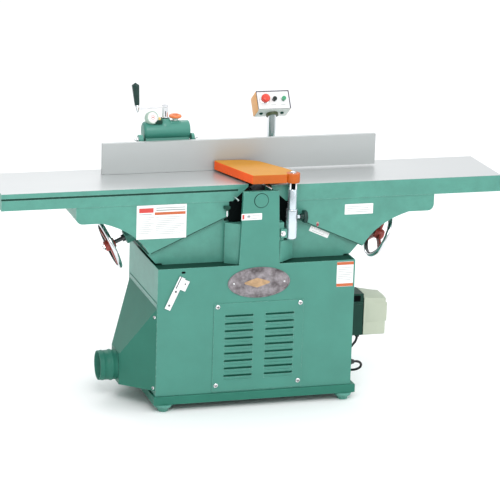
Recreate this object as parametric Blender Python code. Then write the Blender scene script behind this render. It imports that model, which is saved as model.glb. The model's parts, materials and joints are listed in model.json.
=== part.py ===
"""A large parallelogram-way woodworking jointer, modelled as an assembly of separate sub-parts.

Metres, +Z up. X runs along the tables (the infeed side is +X), Y runs from front to back.
Lengths below are measured from the tables' centre line; the frame empty then centres the
whole machine over the origin.
"""

import math

import bmesh
import bpy
from mathutils import Matrix, Vector

# ---------------------------------------------------------------- driving dimensions
FRAME_Y = -0.0813             # moves the tables' centre line, so that the machine is centred
GAP = 0.0003                  # space left between pieces that touch

# Tables. Distances u run outwards from the cutter's axis.
TABLE_LENGTH = 2.032
TABLE_WIDTH = 0.330
TABLE_Z = 0.892               # working height, at the outfeed table
EDGE_DEPTH = 0.0665
BELLY_Z = 0.758
RIB_ROOF = 0.024              # thickness of the top above the pockets below it
WAY_ANGLE = math.radians(24.0)
WAY_TIP = (0.425, 0.625)      # (u, z) of the inclined way's lower end
DEPTH_OF_CUT = 0.0085         # how far the infeed table stands below the outfeed table
LIP_GAP = 0.037               # from the cutter's axis to each table's lip, at no depth of cut
BODY_HALF = 0.162             # half width of the casting below a table's edge
SCREW_START = (0.457, 0.6686)  # (u, z) where the lead screw enters the casting
SCREW_RADIUS = 0.008
WHEEL_RADIUS = 0.103
WHEEL_TUBE = 0.0085

# Cutterhead
CUTTER_X = -0.005
CUTTER_RADIUS = 0.050
CUTTER_Z = TABLE_Z - CUTTER_RADIUS
CUTTER_HALF = 0.165
SHAFT_RADIUS = 0.016
BEARING_Y = ((-0.194, -0.169), (0.169, 0.194))

# Cabinet and base
CABINET_X = (-0.413, 0.391)
CABINET_Y = (-0.2226, 0.2374)
CABINET_Z = (0.0643, 0.5806)
SHEET = 0.003
DECK_Z = CABINET_Z[1] - 0.004
BASE_Z = (0.030, CABINET_Z[0] - GAP)
BASE_RAIL = 0.050
ACCESS_X = (-0.185, 0.182)
ACCESS_Z = (0.070, 0.430)
ACCESS_MARGIN = 0.020
LOUVRE_COLUMNS = ((-0.1385, -0.024), (0.027, 0.143))
LOUVRE_TOP_Z = 0.378
LOUVRE_PITCH = 0.0306
LOUVRE_ROWS = 9
NECK_TOP_Z = 0.874
NECK_HALF = 0.0715
NECK_BOTTOM_HALF = 0.0825
PLUG_Z = 0.838

# Chips: the chute through the bed, the duct and the hood
CHUTE_X = (-0.065, 0.055)
CHUTE_Y = (-0.125, 0.125)
HOOD_REAR_Y = 0.2226
HOOD_Z = (0.088, 0.424)
HOOD_END_X = -0.522
HOOD_END = (-0.064, 0.064, 0.070, 0.196)  # y and z limits of the hood's small end
HOOD_SHEET = 0.0025
PORT_Y = 0.0
PORT_Z = 0.133
PORT_RADIUS = 0.059

# Bed
BED_HALF = 0.145
BED_Z = DECK_Z + GAP
BED_TOP_Z = 0.742
BED_CENTRE = 0.126
WING_RIGHT_X = 0.098          # right end of the block behind the neck, beside the guard's post
WING_FRONT_Y = -0.200

# Drive
REAR_TOP_Z = 0.886
PULLEY_Y = (0.204, 0.228)
HEAD_PULLEY_RADIUS = 0.028
MOTOR_PULLEY_RADIUS = 0.041
MOTOR_X = 0.080
MOTOR_Z = 0.240

# Fence
FENCE_Y = 0.069
FENCE_X = (-0.571, 0.560)
FENCE_HEIGHT = 0.125
FENCE_THICKNESS = 0.020
FENCE_Z = TABLE_Z + GAP
RELIEF_HALF = 0.030           # half width of the fence's notch over the cutterhead
RELIEF_HEIGHT = 0.004
HOUSING_X = (-0.401, -0.197)
HOUSING_RADIUS = 0.0388
HOUSING_Y = 0.172
HOUSING_Z = 1.038
FLANGE_Z = (0.990, 1.003)
HINGE_Y = FENCE_Y + FENCE_THICKNESS + 0.0012
HINGE_Z = FENCE_Z + 0.008
RAIL_Z = 0.8225
CRANK_REACH = 0.118
CRANK_RISE = 0.052

# Cutter guard
GUARD_PIVOT = Vector((0.130, -0.192, 0.0))
GUARD_Z = (0.899, 0.935)
CLAMP_Z = 0.758

# Controls
COLUMN = Vector((0.200, 0.330, 0.0))
COLUMN_RADIUS = 0.0188
BOX_TILT = math.radians(34.0)
BOX_SIZE = Vector((0.1425, 0.082, 0.083))
BUTTON_SINK = 0.011           # length of a button's stem below its face
SWITCH_Y = (-0.125, -0.018)
SWITCH_Z = (0.231, 0.405)
SWITCH_BASE = 0.079
SWITCH_COVER = 0.093
CABLE_RADIUS = 0.0048
CABLE_ROUTE = ((0.4510, -0.110, 0.2305), (0.4505, -0.110, 0.2180), (0.4440, -0.111, 0.2020),
               (0.4310, -0.111, 0.1860), (0.4180, -0.108, 0.1660), (0.4080, -0.104, 0.1420),
               (0.4030, -0.106, 0.1180), (0.4050, -0.118, 0.1000), (0.4160, -0.140, 0.0950),
               (0.4320, -0.162, 0.1020), (0.4440, -0.180, 0.1160), (0.4440, -0.192, 0.1330),
               (0.4330, -0.196, 0.1450), (0.4200, -0.196, 0.1480), (0.4125, -0.196, 0.1480))

WAY = Vector((math.cos(WAY_ANGLE), 0.0, math.sin(WAY_ANGLE)))
INFEED_SLIDE = DEPTH_OF_CUT / math.sin(WAY_ANGLE)

# ---------------------------------------------------------------- finishes
FINISHES = {
    "green_paint": ((0.13, 0.38, 0.30, 1.0), 0.40, 0.0),
    "dark_green_paint": ((0.03, 0.10, 0.08, 1.0), 0.45, 0.0),
    "ground_steel": ((0.72, 0.72, 0.71, 1.0), 0.28, 1.0),
    "chrome": ((0.80, 0.80, 0.82, 1.0), 0.12, 1.0),
    "dark_steel": ((0.25, 0.25, 0.26, 1.0), 0.40, 1.0),
    "cast_iron": ((0.10, 0.10, 0.10, 1.0), 0.55, 0.6),
    "black_plastic": ((0.02, 0.02, 0.02, 1.0), 0.35, 0.0),
    "black_rubber": ((0.015, 0.015, 0.015, 1.0), 0.60, 0.0),
    "orange_plastic": ((0.83, 0.22, 0.04, 1.0), 0.35, 0.0),
    "red_paint": ((0.55, 0.05, 0.03, 1.0), 0.35, 0.0),
    "red_plastic": ((0.75, 0.06, 0.04, 1.0), 0.30, 0.0),
    "green_plastic": ((0.05, 0.40, 0.20, 1.0), 0.35, 0.0),
    "beige_plastic": ((0.56, 0.61, 0.47, 1.0), 0.40, 0.0),
    "plate_bronze": ((0.42, 0.34, 0.31, 1.0), 0.35, 0.8),
}


def finish(name, kind):
    """A material of its own for one sub-part."""
    color, roughness, metallic = FINISHES[kind]
    material = bpy.data.materials.new(name + "_" + kind)
    material.use_nodes = True
    shader = material.node_tree.nodes["Principled BSDF"]
    shader.inputs["Base Color"].default_value = color
    shader.inputs["Roughness"].default_value = roughness
    shader.inputs["Metallic"].default_value = metallic
    return material


# ---------------------------------------------------------------- modelling helpers
def clear_scene():
    """Removes whatever is already in the file."""
    for old in list(bpy.data.objects):
        bpy.data.objects.remove(old, do_unlink=True)


def frame_empty():
    """The parent of every sub-part, which centres the machine over the origin."""
    empty = bpy.data.objects.new("jointer_frame", None)
    empty.location = (0.0, FRAME_Y, 0.0)
    bpy.context.scene.collection.objects.link(empty)
    return empty


def add_object(name, data, kind, origin=(0.0, 0.0, 0.0), sharp=40.0):
    """Links a mesh or a curve as a named sub-part, with its origin on the given point."""
    origin = Vector(origin)
    data.transform(Matrix.Translation(-origin))
    obj = bpy.data.objects.new(name, data)
    bpy.context.scene.collection.objects.link(obj)
    obj.parent = bpy.data.objects["jointer_frame"]
    obj.location = origin
    data.materials.append(finish(name, kind))
    if isinstance(data, bpy.types.Mesh):
        data.shade_smooth()
        data.set_sharp_from_angle(angle=math.radians(sharp))
    return obj


def mesh_from(name, bm):
    bmesh.ops.recalc_face_normals(bm, faces=bm.faces)
    mesh = bpy.data.meshes.new(name)
    bm.to_mesh(mesh)
    bm.free()
    return mesh


def solid(name, bm, kind, origin=(0.0, 0.0, 0.0)):
    return add_object(name, mesh_from(name, bm), kind, origin)


def helper(owner, bm, operation):
    """A hidden mesh that a Boolean cuts from its owner, or joins to it."""
    count = len(owner.modifiers)
    name = f"{owner.name}_{operation.lower()}_{count}"
    tool = bpy.data.objects.new(name, mesh_from(name, bm))
    bpy.context.scene.collection.objects.link(tool)
    tool.parent = bpy.data.objects["jointer_frame"]
    tool.hide_render = True
    tool.display_type = "WIRE"
    modifier = owner.modifiers.new(name, "BOOLEAN")
    modifier.operation = operation
    modifier.solver = "EXACT"
    modifier.object = tool


def cut(owner, *shapes):
    for bm in shapes:
        helper(owner, bm, "DIFFERENCE")


def join(owner, *shapes):
    for bm in shapes:
        helper(owner, bm, "UNION")


def block(low, high):
    """A box between two corners."""
    bm = bmesh.new()
    low, high = Vector(low), Vector(high)
    bmesh.ops.create_cube(bm, size=1.0)
    size = high - low
    bmesh.ops.transform(bm, matrix=Matrix.Diagonal((*size, 1.0)), verts=bm.verts)
    bmesh.ops.translate(bm, vec=(low + high) / 2, verts=bm.verts)
    return bm


def rounded(bm, width):
    """Takes a small flat off every edge."""
    bmesh.ops.bevel(bm, geom=list(bm.edges), offset=width, segments=1, affect="EDGES")
    return bm


def extruded(corners, along):
    """A flat outline, swept along a vector."""
    bm = bmesh.new()
    face = bm.faces.new([bm.verts.new(corner) for corner in corners])
    made = bmesh.ops.extrude_face_region(bm, geom=[face])
    moved = [v for v in made["geom"] if isinstance(v, bmesh.types.BMVert)]
    bmesh.ops.translate(bm, vec=along, verts=moved)
    return bm


def prism(outline, y_low, y_high):
    """An (x, z) outline, extruded from y_low to y_high."""
    return extruded([(x, y_low, z) for x, z in outline], (0.0, y_high - y_low, 0.0))


def prism_side(outline, x_low, x_high):
    """A (y, z) outline, extruded from x_low to x_high."""
    return extruded([(x_low, y, z) for y, z in outline], (x_high - x_low, 0.0, 0.0))


def plate_from_top(outline, z_low, z_high):
    """An (x, y) outline, extruded from z_low to z_high."""
    return extruded([(x, y, z_low) for x, y in outline], (0.0, 0.0, z_high - z_low))


def aim(direction):
    """The rotation that takes +Z to a direction."""
    return Vector(direction).normalized().to_track_quat("Z", "Y").to_matrix().to_4x4()


def turned(profile, start, direction, segments=32):
    """A closed (radius, distance) profile turned about the line from start along direction.

    A profile whose first and last radius are 0 makes a solid piece; any other makes a ring.
    """
    bm = bmesh.new()
    ring = profile[0][0] > 0.0
    rows = []
    for step in range(segments):
        angle = 2.0 * math.pi * step / segments
        row = []
        for index, (radius, distance) in enumerate(profile):
            if radius == 0.0 and step > 0:
                row.append(rows[0][index])
                continue
            place = (radius * math.cos(angle), radius * math.sin(angle), distance)
            row.append(bm.verts.new(place))
        rows.append(row)
    last = len(profile) if ring else len(profile) - 1
    for step in range(segments):
        here, there = rows[step], rows[(step + 1) % segments]
        for index in range(last):
            after = (index + 1) % len(profile)
            corners = [here[index], here[after], there[after], there[index]]
            distinct = list(dict.fromkeys(corners))
            if len(distinct) > 2:
                bm.faces.new(distinct)
    matrix = Matrix.Translation(Vector(start)) @ aim(direction)
    bmesh.ops.transform(bm, matrix=matrix, verts=bm.verts)
    return bm


def rod(start, end, radius, segments=24):
    """A plain round bar between two points."""
    start, end = Vector(start), Vector(end)
    length = (end - start).length
    profile = [(0.0, 0.0), (radius, 0.0), (radius, length), (0.0, length)]
    return turned(profile, start, end - start, segments)


def tube(start, end, outer, inner, segments=32):
    """A round sleeve between two points."""
    start, end = Vector(start), Vector(end)
    length = (end - start).length
    profile = [(outer, 0.0), (outer, length), (inner, length), (inner, 0.0)]
    return turned(profile, start, end - start, segments)


def arc(centre, radius, start, stop, steps):
    """Points on an arc, angles in degrees."""
    points = []
    for index in range(steps + 1):
        angle = math.radians(start + (stop - start) * index / steps)
        points.append((centre[0] + radius * math.cos(angle),
                       centre[1] + radius * math.sin(angle)))
    return points


def bend(first, control, last, steps):
    """Points on a quadratic curve, without its first one."""
    points = []
    for index in range(1, steps + 1):
        t = index / steps
        points.append(tuple((1 - t) ** 2 * a + 2 * t * (1 - t) * b + t * t * c
                            for a, b, c in zip(first, control, last)))
    return points


def frustum(near, far, x_near, x_far):
    """A solid between two rectangles, each (y_low, y_high, z_low, z_high), at two X places."""
    bm = bmesh.new()
    rings = []
    for (y0, y1, z0, z1), x in ((near, x_near), (far, x_far)):
        rings.append([bm.verts.new((x, y, z)) for y, z in
                      ((y0, z0), (y1, z0), (y1, z1), (y0, z1))])
    for index in range(4):
        after = (index + 1) % 4
        bm.faces.new((rings[0][index], rings[0][after], rings[1][after], rings[1][index]))
    bm.faces.new(rings[0])
    bm.faces.new(rings[1])
    return bm


# ---------------------------------------------------------------- cabinet
def neck_x(half):
    return (CUTTER_X - half, CUTTER_X + half)


def make_cabinet():
    """Five sheet-metal walls; the front one rises into the neck below the cutterhead."""
    x0, x1 = CABINET_X
    y0, y1 = CABINET_Y
    z0, z1 = CABINET_Z
    low, top = neck_x(NECK_BOTTOM_HALF), neck_x(NECK_HALF)
    outline = [(x0, z0), (x1, z0), (x1, z1), (low[1], z1), (top[1], NECK_TOP_Z),
               (top[0], NECK_TOP_Z), (low[0], z1), (x0, z1)]
    front = solid("cabinet_front", prism(outline, y0, y0 + SHEET), "green_paint")
    margin = ACCESS_MARGIN
    cut(front,
        block((ACCESS_X[0] + margin, y0 - 0.01, ACCESS_Z[0] + margin),
              (ACCESS_X[1] - margin, y0 + 0.01, ACCESS_Z[1] - margin)),
        rod((CUTTER_X, y0 - 0.01, PLUG_Z), (CUTTER_X, y0 + 0.01, PLUG_Z), 0.026, 32))

    inner_front, inner_rear = y0 + SHEET + GAP, y1 - SHEET - GAP
    left = solid("cabinet_left", block((x0, inner_front, z0), (x0 + SHEET, inner_rear, z1)),
                 "green_paint")
    cut(left, block((x0 - 0.01, -HOOD_REAR_Y + 0.03, HOOD_Z[0] + 0.015),
                    (x0 + 0.01, HOOD_REAR_Y - 0.03, HOOD_Z[1] - 0.015)))
    solid("cabinet_right", block((x1 - SHEET, inner_front, z0), (x1, inner_rear, z1)),
          "green_paint")
    solid("cabinet_rear", block((x0, y1 - SHEET, z0), (x1, y1, z1)), "green_paint")

    deck_low = (x0 + SHEET + GAP, inner_front, DECK_Z - SHEET)
    deck = solid("cabinet_deck", block(deck_low, (x1 - SHEET - GAP, inner_rear, DECK_Z)),
                 "dark_green_paint")
    cut(deck,
        block((CHUTE_X[0], CHUTE_Y[0], DECK_Z - 0.01), (CHUTE_X[1], CHUTE_Y[1], DECK_Z + 0.01)),
        block((-0.060, PULLEY_Y[0] - 0.006, DECK_Z - 0.01),
              (0.110, PULLEY_Y[1] + 0.002, DECK_Z + 0.01)))


def make_base():
    """A proud skirt below the cabinet, on four cast feet."""
    x0, x1 = CABINET_X[0] - 0.008, CABINET_X[1] + 0.018
    y0, y1 = CABINET_Y[0] - 0.008, CABINET_Y[1] + 0.008
    z0, z1 = BASE_Z
    rail = BASE_RAIL
    base = solid("base_frame", block((x0, y0, z0), (x1, y1, z1)), "green_paint")
    cut(base, block((x0 + rail, y0 + rail, z0 - 0.01), (x1 - rail, y1 - rail, z1 + 0.01)))
    foot_y = {"front": y0 + 0.026, "rear": y1 - 0.026}
    foot_x = {"left": x0 + 0.044, "right": x1 - 0.044}
    for end, y in foot_y.items():
        for side, x in foot_x.items():
            profile = [(0.0, 0.0), (0.020, 0.0), (0.022, 0.004), (0.024, 0.016),
                       (0.034, 0.022), (0.036, z0 - GAP), (0.0, z0 - GAP)]
            solid(f"foot_{end}_{side}", turned(profile, (x, y, 0.0), (0, 0, 1), 24),
                  "green_paint")


def make_access_panel():
    """The louvred cover on the front wall: two columns of vents."""
    y = CABINET_Y[0] - GAP
    panel = solid("access_panel", block((ACCESS_X[0], y - 0.0025, ACCESS_Z[0]),
                                        (ACCESS_X[1], y, ACCESS_Z[1])), "green_paint")
    for x0, x1 in LOUVRE_COLUMNS:
        for row in range(LOUVRE_ROWS):
            z = LOUVRE_TOP_Z - LOUVRE_PITCH * row
            cut(panel, block((x0, y - 0.01, z - 0.004), (x1, y + 0.01, z + 0.004)))


def make_nameplate():
    """A plain oval plate."""
    profile = [(0.0, 0.0), (0.5, 0.0), (0.5, 0.003), (0.47, 0.0045), (0.0, 0.0045)]
    bm = turned(profile, (0, 0, 0), (0, -1, 0), 48)
    bmesh.ops.transform(bm, matrix=Matrix.Diagonal((0.254, 1.0, 0.124, 1.0)), verts=bm.verts)
    bmesh.ops.translate(bm, vec=(CUTTER_X, CABINET_Y[0] - GAP, 0.509), verts=bm.verts)
    solid("nameplate", bm, "plate_bronze")


def make_front_lever():
    """A flat steel bar with a square end plate, bolted to the front wall."""
    bm = block((-0.0125, -0.006, -0.070), (0.0125, -0.0005, 0.070))
    tilt = Matrix.Translation((-0.345, CABINET_Y[0], 0.483)) @ Matrix.Rotation(
        math.radians(25.0), 4, "Y")
    bmesh.ops.transform(bm, matrix=tilt, verts=bm.verts)
    lever = solid("front_lever", bm, "chrome")
    tab = block((-0.004, -0.007, 0.022), (0.034, -0.0005, 0.066))
    bmesh.ops.transform(tab, matrix=tilt, verts=tab.verts)
    join(lever, tab)


# ---------------------------------------------------------------- dust collection
def make_dust_hood():
    """A sheet hopper on the left wall that narrows to a round port."""
    x0 = CABINET_X[0] - GAP
    near = (-HOOD_REAR_Y, HOOD_REAR_Y, *HOOD_Z)
    far = HOOD_END
    hood = solid("dust_hood", frustum(near, far, x0, HOOD_END_X), "green_paint")
    t = HOOD_SHEET
    inner_near = (near[0] + t, near[1] - t, near[2] + t, near[3] - t)
    inner_far = (far[0] + t, far[1] - t, far[2] + t, far[3] - t)
    cavity = frustum(inner_near, inner_far, x0 + GAP, HOOD_END_X + t)
    cut(hood, cavity,
        rod((HOOD_END_X - 0.01, PORT_Y, PORT_Z), (HOOD_END_X + 0.01, PORT_Y, PORT_Z),
            PORT_RADIUS - 0.003, 40))
    r = PORT_RADIUS
    bead = 0.003
    profile = [(r, 0.0), (r, 0.016), (r + bead, 0.020), (r + bead, 0.026), (r, 0.030),
               (r, 0.072), (r - 0.003, 0.072), (r - 0.003, 0.0)]
    start = (HOOD_END_X - GAP, PORT_Y, PORT_Z)
    solid("dust_port", turned(profile, start, (-1, 0, 0), 32), "green_paint")


def make_chip_chute():
    """The open duct inside the cabinet, from below the cutterhead to the hood."""
    z_top = DECK_Z - SHEET - GAP
    x_wall = CABINET_X[0] + SHEET + GAP
    outline = [(CHUTE_X[0] - 0.010, z_top), (CHUTE_X[1] + 0.010, z_top),
               (CHUTE_X[1] + 0.010, 0.430), (x_wall, 0.110), (x_wall, 0.400)]
    half = CHUTE_Y[1] + 0.010
    chute = solid("chip_chute", prism(outline, -half, half), "dark_green_paint")
    t = SHEET
    inside = [(CHUTE_X[0] - 0.007, z_top + 0.01), (CHUTE_X[1] + 0.007, z_top + 0.01),
              (CHUTE_X[1] + 0.007, 0.432), (x_wall - 0.02, 0.097), (x_wall - 0.02, 0.397),
              (CHUTE_X[0] - 0.007, z_top - 0.003)]
    cut(chute, prism(inside, -half + t, half - t))


# ---------------------------------------------------------------- bed, neck and cutterhead
def way_height(u):
    """Height of the inclined way, at a distance u from the cutter's axis."""
    return WAY_TIP[1] + (WAY_TIP[0] - u) * math.tan(WAY_ANGLE)


def make_bed():
    """The main casting: two inclined ways either side of a block that carries the cutter."""
    drop = GAP / math.cos(WAY_ANGLE)
    right = [(0.372, BED_Z), (0.372, CABINET_Z[1] + 0.002), (0.398, CABINET_Z[1] + 0.002),
             (0.432, way_height(0.432) - drop),
             (BED_CENTRE, way_height(BED_CENTRE) - drop), (BED_CENTRE, BED_TOP_Z)]
    outline = [(CUTTER_X + u, z) for u, z in right]
    outline += [(CUTTER_X - u, z) for u, z in reversed(right)]
    bed = solid("bed_casting", prism(outline, -BED_HALF, BED_HALF), "green_paint")
    join(bed, block((CUTTER_X - BED_CENTRE + 0.004, WING_FRONT_Y, BED_Z),
                    (WING_RIGHT_X, -0.130, BED_TOP_Z - 0.002)))
    join(bed, block((CUTTER_X - 0.060, 0.130, BED_Z),
                    (CUTTER_X + 0.060, 0.196, BED_TOP_Z - 0.002)))
    cut(bed, block((CHUTE_X[0], CHUTE_Y[0], BED_Z - 0.01),
                   (CHUTE_X[1], CHUTE_Y[1], BED_TOP_Z + 0.01)))


def make_neck():
    """The folded sides behind the front neck plate, and the round plug in it."""
    y0 = CABINET_Y[0] + SHEET + GAP
    z0 = CABINET_Z[1] + 0.001
    outline = [(CUTTER_X - NECK_BOTTOM_HALF + 0.001, z0), (CUTTER_X + NECK_BOTTOM_HALF - 0.001, z0),
               (CUTTER_X + NECK_HALF - 0.001, NECK_TOP_Z - 0.001),
               (CUTTER_X - NECK_HALF + 0.001, NECK_TOP_Z - 0.001)]
    frame = solid("neck_frame", prism(outline, y0, -0.200 - GAP), "green_paint")
    cut(frame, block((CUTTER_X - 0.064, y0 - 0.01, z0 - 0.01),
                     (CUTTER_X + 0.064, -0.19, NECK_TOP_Z - 0.004)))
    y = CABINET_Y[0]
    profile = [(0.0, 0.0), (0.0255, 0.0), (0.0255, 0.004), (0.029, 0.0042), (0.029, 0.0065),
               (0.0265, 0.008), (0.0, 0.008)]
    solid("neck_plug", turned(profile, (CUTTER_X, y + 0.0035, PLUG_Z), (0, -1, 0), 32),
          "green_paint")


def make_bearings():
    """The two blocks on the bed that carry the cutterhead's shaft."""
    for end, (y0, y1) in zip(("front", "rear"), BEARING_Y):
        z0 = BED_TOP_Z - 0.002 + GAP
        outline = [(CUTTER_X - 0.048, z0), (CUTTER_X + 0.048, z0)]
        outline += [(CUTTER_X + dx, CUTTER_Z + dz) for dx, dz in arc((0, 0), 0.030, -20, 200, 12)]
        bearing = solid(f"bearing_block_{end}", prism(outline, y0, y1), "cast_iron")
        cut(bearing, rod((CUTTER_X, y0 - 0.01, CUTTER_Z), (CUTTER_X, y1 + 0.01, CUTTER_Z),
                         SHAFT_RADIUS + GAP, 32))


def make_cutterhead():
    """The knife cylinder with its shaft; the pulley sits on the shaft's rear end."""
    half = CUTTER_HALF - 0.001
    r = CUTTER_RADIUS - 0.001
    shaft = SHAFT_RADIUS
    collar = 0.030
    profile = [(0.0, -half - 0.035), (shaft, -half - 0.035), (shaft, -half - 0.002),
               (collar, -half - 0.002), (collar, -half), (r, -half), (r, half), (collar, half),
               (collar, half + 0.002), (shaft, half + 0.002), (shaft, 0.232), (0.0, 0.232)]
    axis = (CUTTER_X, 0.0, CUTTER_Z)
    head = solid("cutterhead", turned(profile, axis, (0, 1, 0), 36), "ground_steel", axis)
    turns = [Matrix.Translation(axis) @ Matrix.Rotation(math.radians(angle), 4, "Y")
             for angle in (70.0, 190.0, 310.0)]
    for turn in turns:
        slot = block((-0.007, -0.2, 0.034), (0.007, 0.2, 0.07))
        bmesh.ops.transform(slot, matrix=turn, verts=slot.verts)
        cut(head, slot)
    for turn in turns:
        knife = block((-0.0015, -half + 0.0005, 0.030), (0.0015, half - 0.0005, CUTTER_RADIUS))
        bmesh.ops.transform(knife, matrix=turn, verts=knife.verts)
        join(head, knife)
    pulley = grooved_pulley(HEAD_PULLEY_RADIUS, SHAFT_RADIUS + GAP, CUTTER_X, CUTTER_Z)
    solid("head_pulley", pulley, "cast_iron", axis)


def grooved_pulley(radius, bore, x, z):
    """A pulley ring with three V grooves, about a line along Y."""
    y0, y1 = PULLEY_Y
    pitch = (y1 - y0) / 3.0
    depth = 0.005
    outer = []
    for groove in range(3):
        base = groove * pitch
        outer += [(radius, base + 0.0001), (radius, base + 0.0012),
                  (radius - depth, base + pitch / 2), (radius, base + pitch - 0.0012)]
    outer.append((radius, y1 - y0))
    profile = outer + [(bore, y1 - y0), (bore, 0.0001)]
    return turned(profile, (x, y0, z), (0, 1, 0), 24)


def belt_outline(extra):
    """The belt's run round both pulleys, pushed outwards by extra: (x, z) points."""
    a, b = Vector((CUTTER_X, CUTTER_Z)), Vector((MOTOR_X, MOTOR_Z))
    ra, rb = HEAD_PULLEY_RADIUS + extra, MOTOR_PULLEY_RADIUS + extra
    run = a - b
    facing = math.degrees(math.atan2(run.y, run.x))
    lean = math.degrees(math.acos((rb - ra) / run.length))
    over = arc(a, ra, facing - lean, facing + lean, 12)
    under = arc(b, rb, facing + lean, facing + 360.0 - lean, 16)
    return over + under


def make_drive():
    """Motor, its pulley and the belt, at the rear of the machine."""
    shell = [(0.0, 0.0), (0.070, 0.0), (0.090, 0.020), (0.090, 0.250), (0.080, 0.262),
             (0.022, 0.262), (0.022, 0.268), (0.0135, 0.268), (0.0135, 0.220), (0.0, 0.220)]
    start = (MOTOR_X, -0.080, MOTOR_Z)
    motor = solid("motor", turned(shell, start, (0, 1, 0), 28), "cast_iron")
    join(motor, block((MOTOR_X - 0.080, -0.030, BASE_Z[1] + 0.004),
                      (MOTOR_X + 0.080, 0.130, MOTOR_Z - 0.060)))
    cut(motor, block((MOTOR_X - 0.060, -0.04, BASE_Z[1] + 0.012),
                     (MOTOR_X + 0.060, 0.14, MOTOR_Z - 0.100)))
    axis = (MOTOR_X, 0.0, MOTOR_Z)
    pulley = solid("motor_pulley",
                   grooved_pulley(MOTOR_PULLEY_RADIUS, 0.010, MOTOR_X, MOTOR_Z), "cast_iron", axis)
    join(pulley, rod((MOTOR_X, 0.145, MOTOR_Z), (MOTOR_X, 0.230, MOTOR_Z), 0.0130))
    belt = solid("drive_belt", prism(belt_outline(0.0045), PULLEY_Y[0] + 0.002,
                                     PULLEY_Y[1] - 0.002), "black_rubber")
    cut(belt, prism(belt_outline(GAP), PULLEY_Y[0] - 0.01, PULLEY_Y[1] + 0.01))


def make_rear_cover():
    """The sheet cover over the belt's upper run, open below and in front."""
    outline = [(CUTTER_X - 0.085, CABINET_Z[1] + GAP), (CUTTER_X + 0.140, CABINET_Z[1] + GAP),
               (CUTTER_X + 0.085, REAR_TOP_Z), (CUTTER_X - 0.085, REAR_TOP_Z)]
    inner = [(CUTTER_X - 0.082, CABINET_Z[1] - 0.01), (CUTTER_X + 0.1385, CABINET_Z[1] - 0.01),
             (CUTTER_X + 0.082, REAR_TOP_Z - 0.003), (CUTTER_X - 0.082, REAR_TOP_Z - 0.003)]
    cover = solid("rear_belt_cover", prism(outline, 0.1975, CABINET_Y[1]), "green_paint")
    cut(cover, prism(inner, 0.19, CABINET_Y[1] - SHEET))


# ---------------------------------------------------------------- tables
def table_outline(length):
    """One table's side view, as (distance from the cutter's axis, height)."""
    z = TABLE_Z
    step = z - EDGE_DEPTH
    belly = BELLY_Z
    outline = [(LIP_GAP, z), (length, z), (length, step), (0.720, step)]
    outline += arc((0.695, belly + 0.025), 0.025, 0.0, -90.0, 4)
    outline += [(0.615, belly)]
    outline += bend((0.615, belly), (0.480, 0.7205), WAY_TIP, 8)
    outline += [(0.106, way_height(0.106)), (0.106, 0.820), (0.049, 0.870), (LIP_GAP, z - 0.011)]
    return outline


def screw_point(along):
    """A point on the lead screw's line: 0 is where it enters the casting, + is outwards."""
    u, z = SCREW_START
    return Vector((u + along * math.cos(WAY_ANGLE), 0.0, z - along * math.sin(WAY_ANGLE)))


def make_table(side, sign, shift):
    """A table casting, ribbed below. sign is -1 for the outfeed table and +1 for the infeed."""
    def spot(u, y, z):
        return Vector((CUTTER_X + sign * u + shift.x, y, z + shift.z))

    length = TABLE_LENGTH / 2 - sign * (CUTTER_X + shift.x)
    shape = [tuple(spot(u, 0, z).xz) for u, z in table_outline(length)]
    half = TABLE_WIDTH / 2
    origin = spot(LIP_GAP, 0, TABLE_Z)
    origin.y = 0.0
    table = solid(f"{side}_table", prism(shape, -half, half), "green_paint", origin)

    def pocket(u0, u1, y0, y1, top):
        ends = sorted((spot(u0, 0, 0).x, spot(u1, 0, 0).x))
        return block((ends[0], y0, 0.50), (ends[1], y1, top + shift.z))

    for y0, y1 in ((-half - 0.01, -BODY_HALF), (BODY_HALF, half + 0.01)):
        cut(table, pocket(0.04, 0.73, y0, y1, TABLE_Z - EDGE_DEPTH))
    bays = [(0.122, 0.262), (0.274, 0.414), (0.426, 0.560), (0.572, 0.700),
            (0.735, 0.862), (0.874, length - 0.015)]
    for u0, u1 in bays:
        for y0, y1 in ((-0.135, -0.040), (-0.028, 0.028), (0.040, 0.135)):
            cut(table, pocket(u0, u1, y0, y1, TABLE_Z - RIB_ROOF))

    def on_screw(along):
        place = screw_point(along)
        return spot(place.x, 0.0, place.z)

    cut(table, rod(on_screw(0.250), on_screw(-0.0203), 0.0283, 32),
        rod(on_screw(0.10), on_screw(-0.170), SCREW_RADIUS + 0.004, 16))
    if side == "outfeed":
        groove_low = spot(length + 0.01, -half - 0.01, TABLE_Z - 0.027)
        groove_high = spot(0.075, -half + 0.003, TABLE_Z - 0.019)
        cut(table, block(groove_low, groove_high))

    axis = on_screw(0.0)
    solid(f"{side}_screw_bearing", tube(on_screw(-0.020), on_screw(0.034), 0.028,
                                        SCREW_RADIUS + GAP, 32), "green_paint", axis)
    screw = solid(f"{side}_lead_screw", rod(on_screw(0.128), on_screw(-0.155), SCREW_RADIUS, 16),
                  "dark_steel", axis)
    join(screw, rod(on_screw(0.0343), on_screw(0.046), 0.014, 24))
    make_handwheel(side, on_screw(0.0996), (on_screw(1.0) - on_screw(0.0)).normalized(), axis)
    return on_screw


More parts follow.
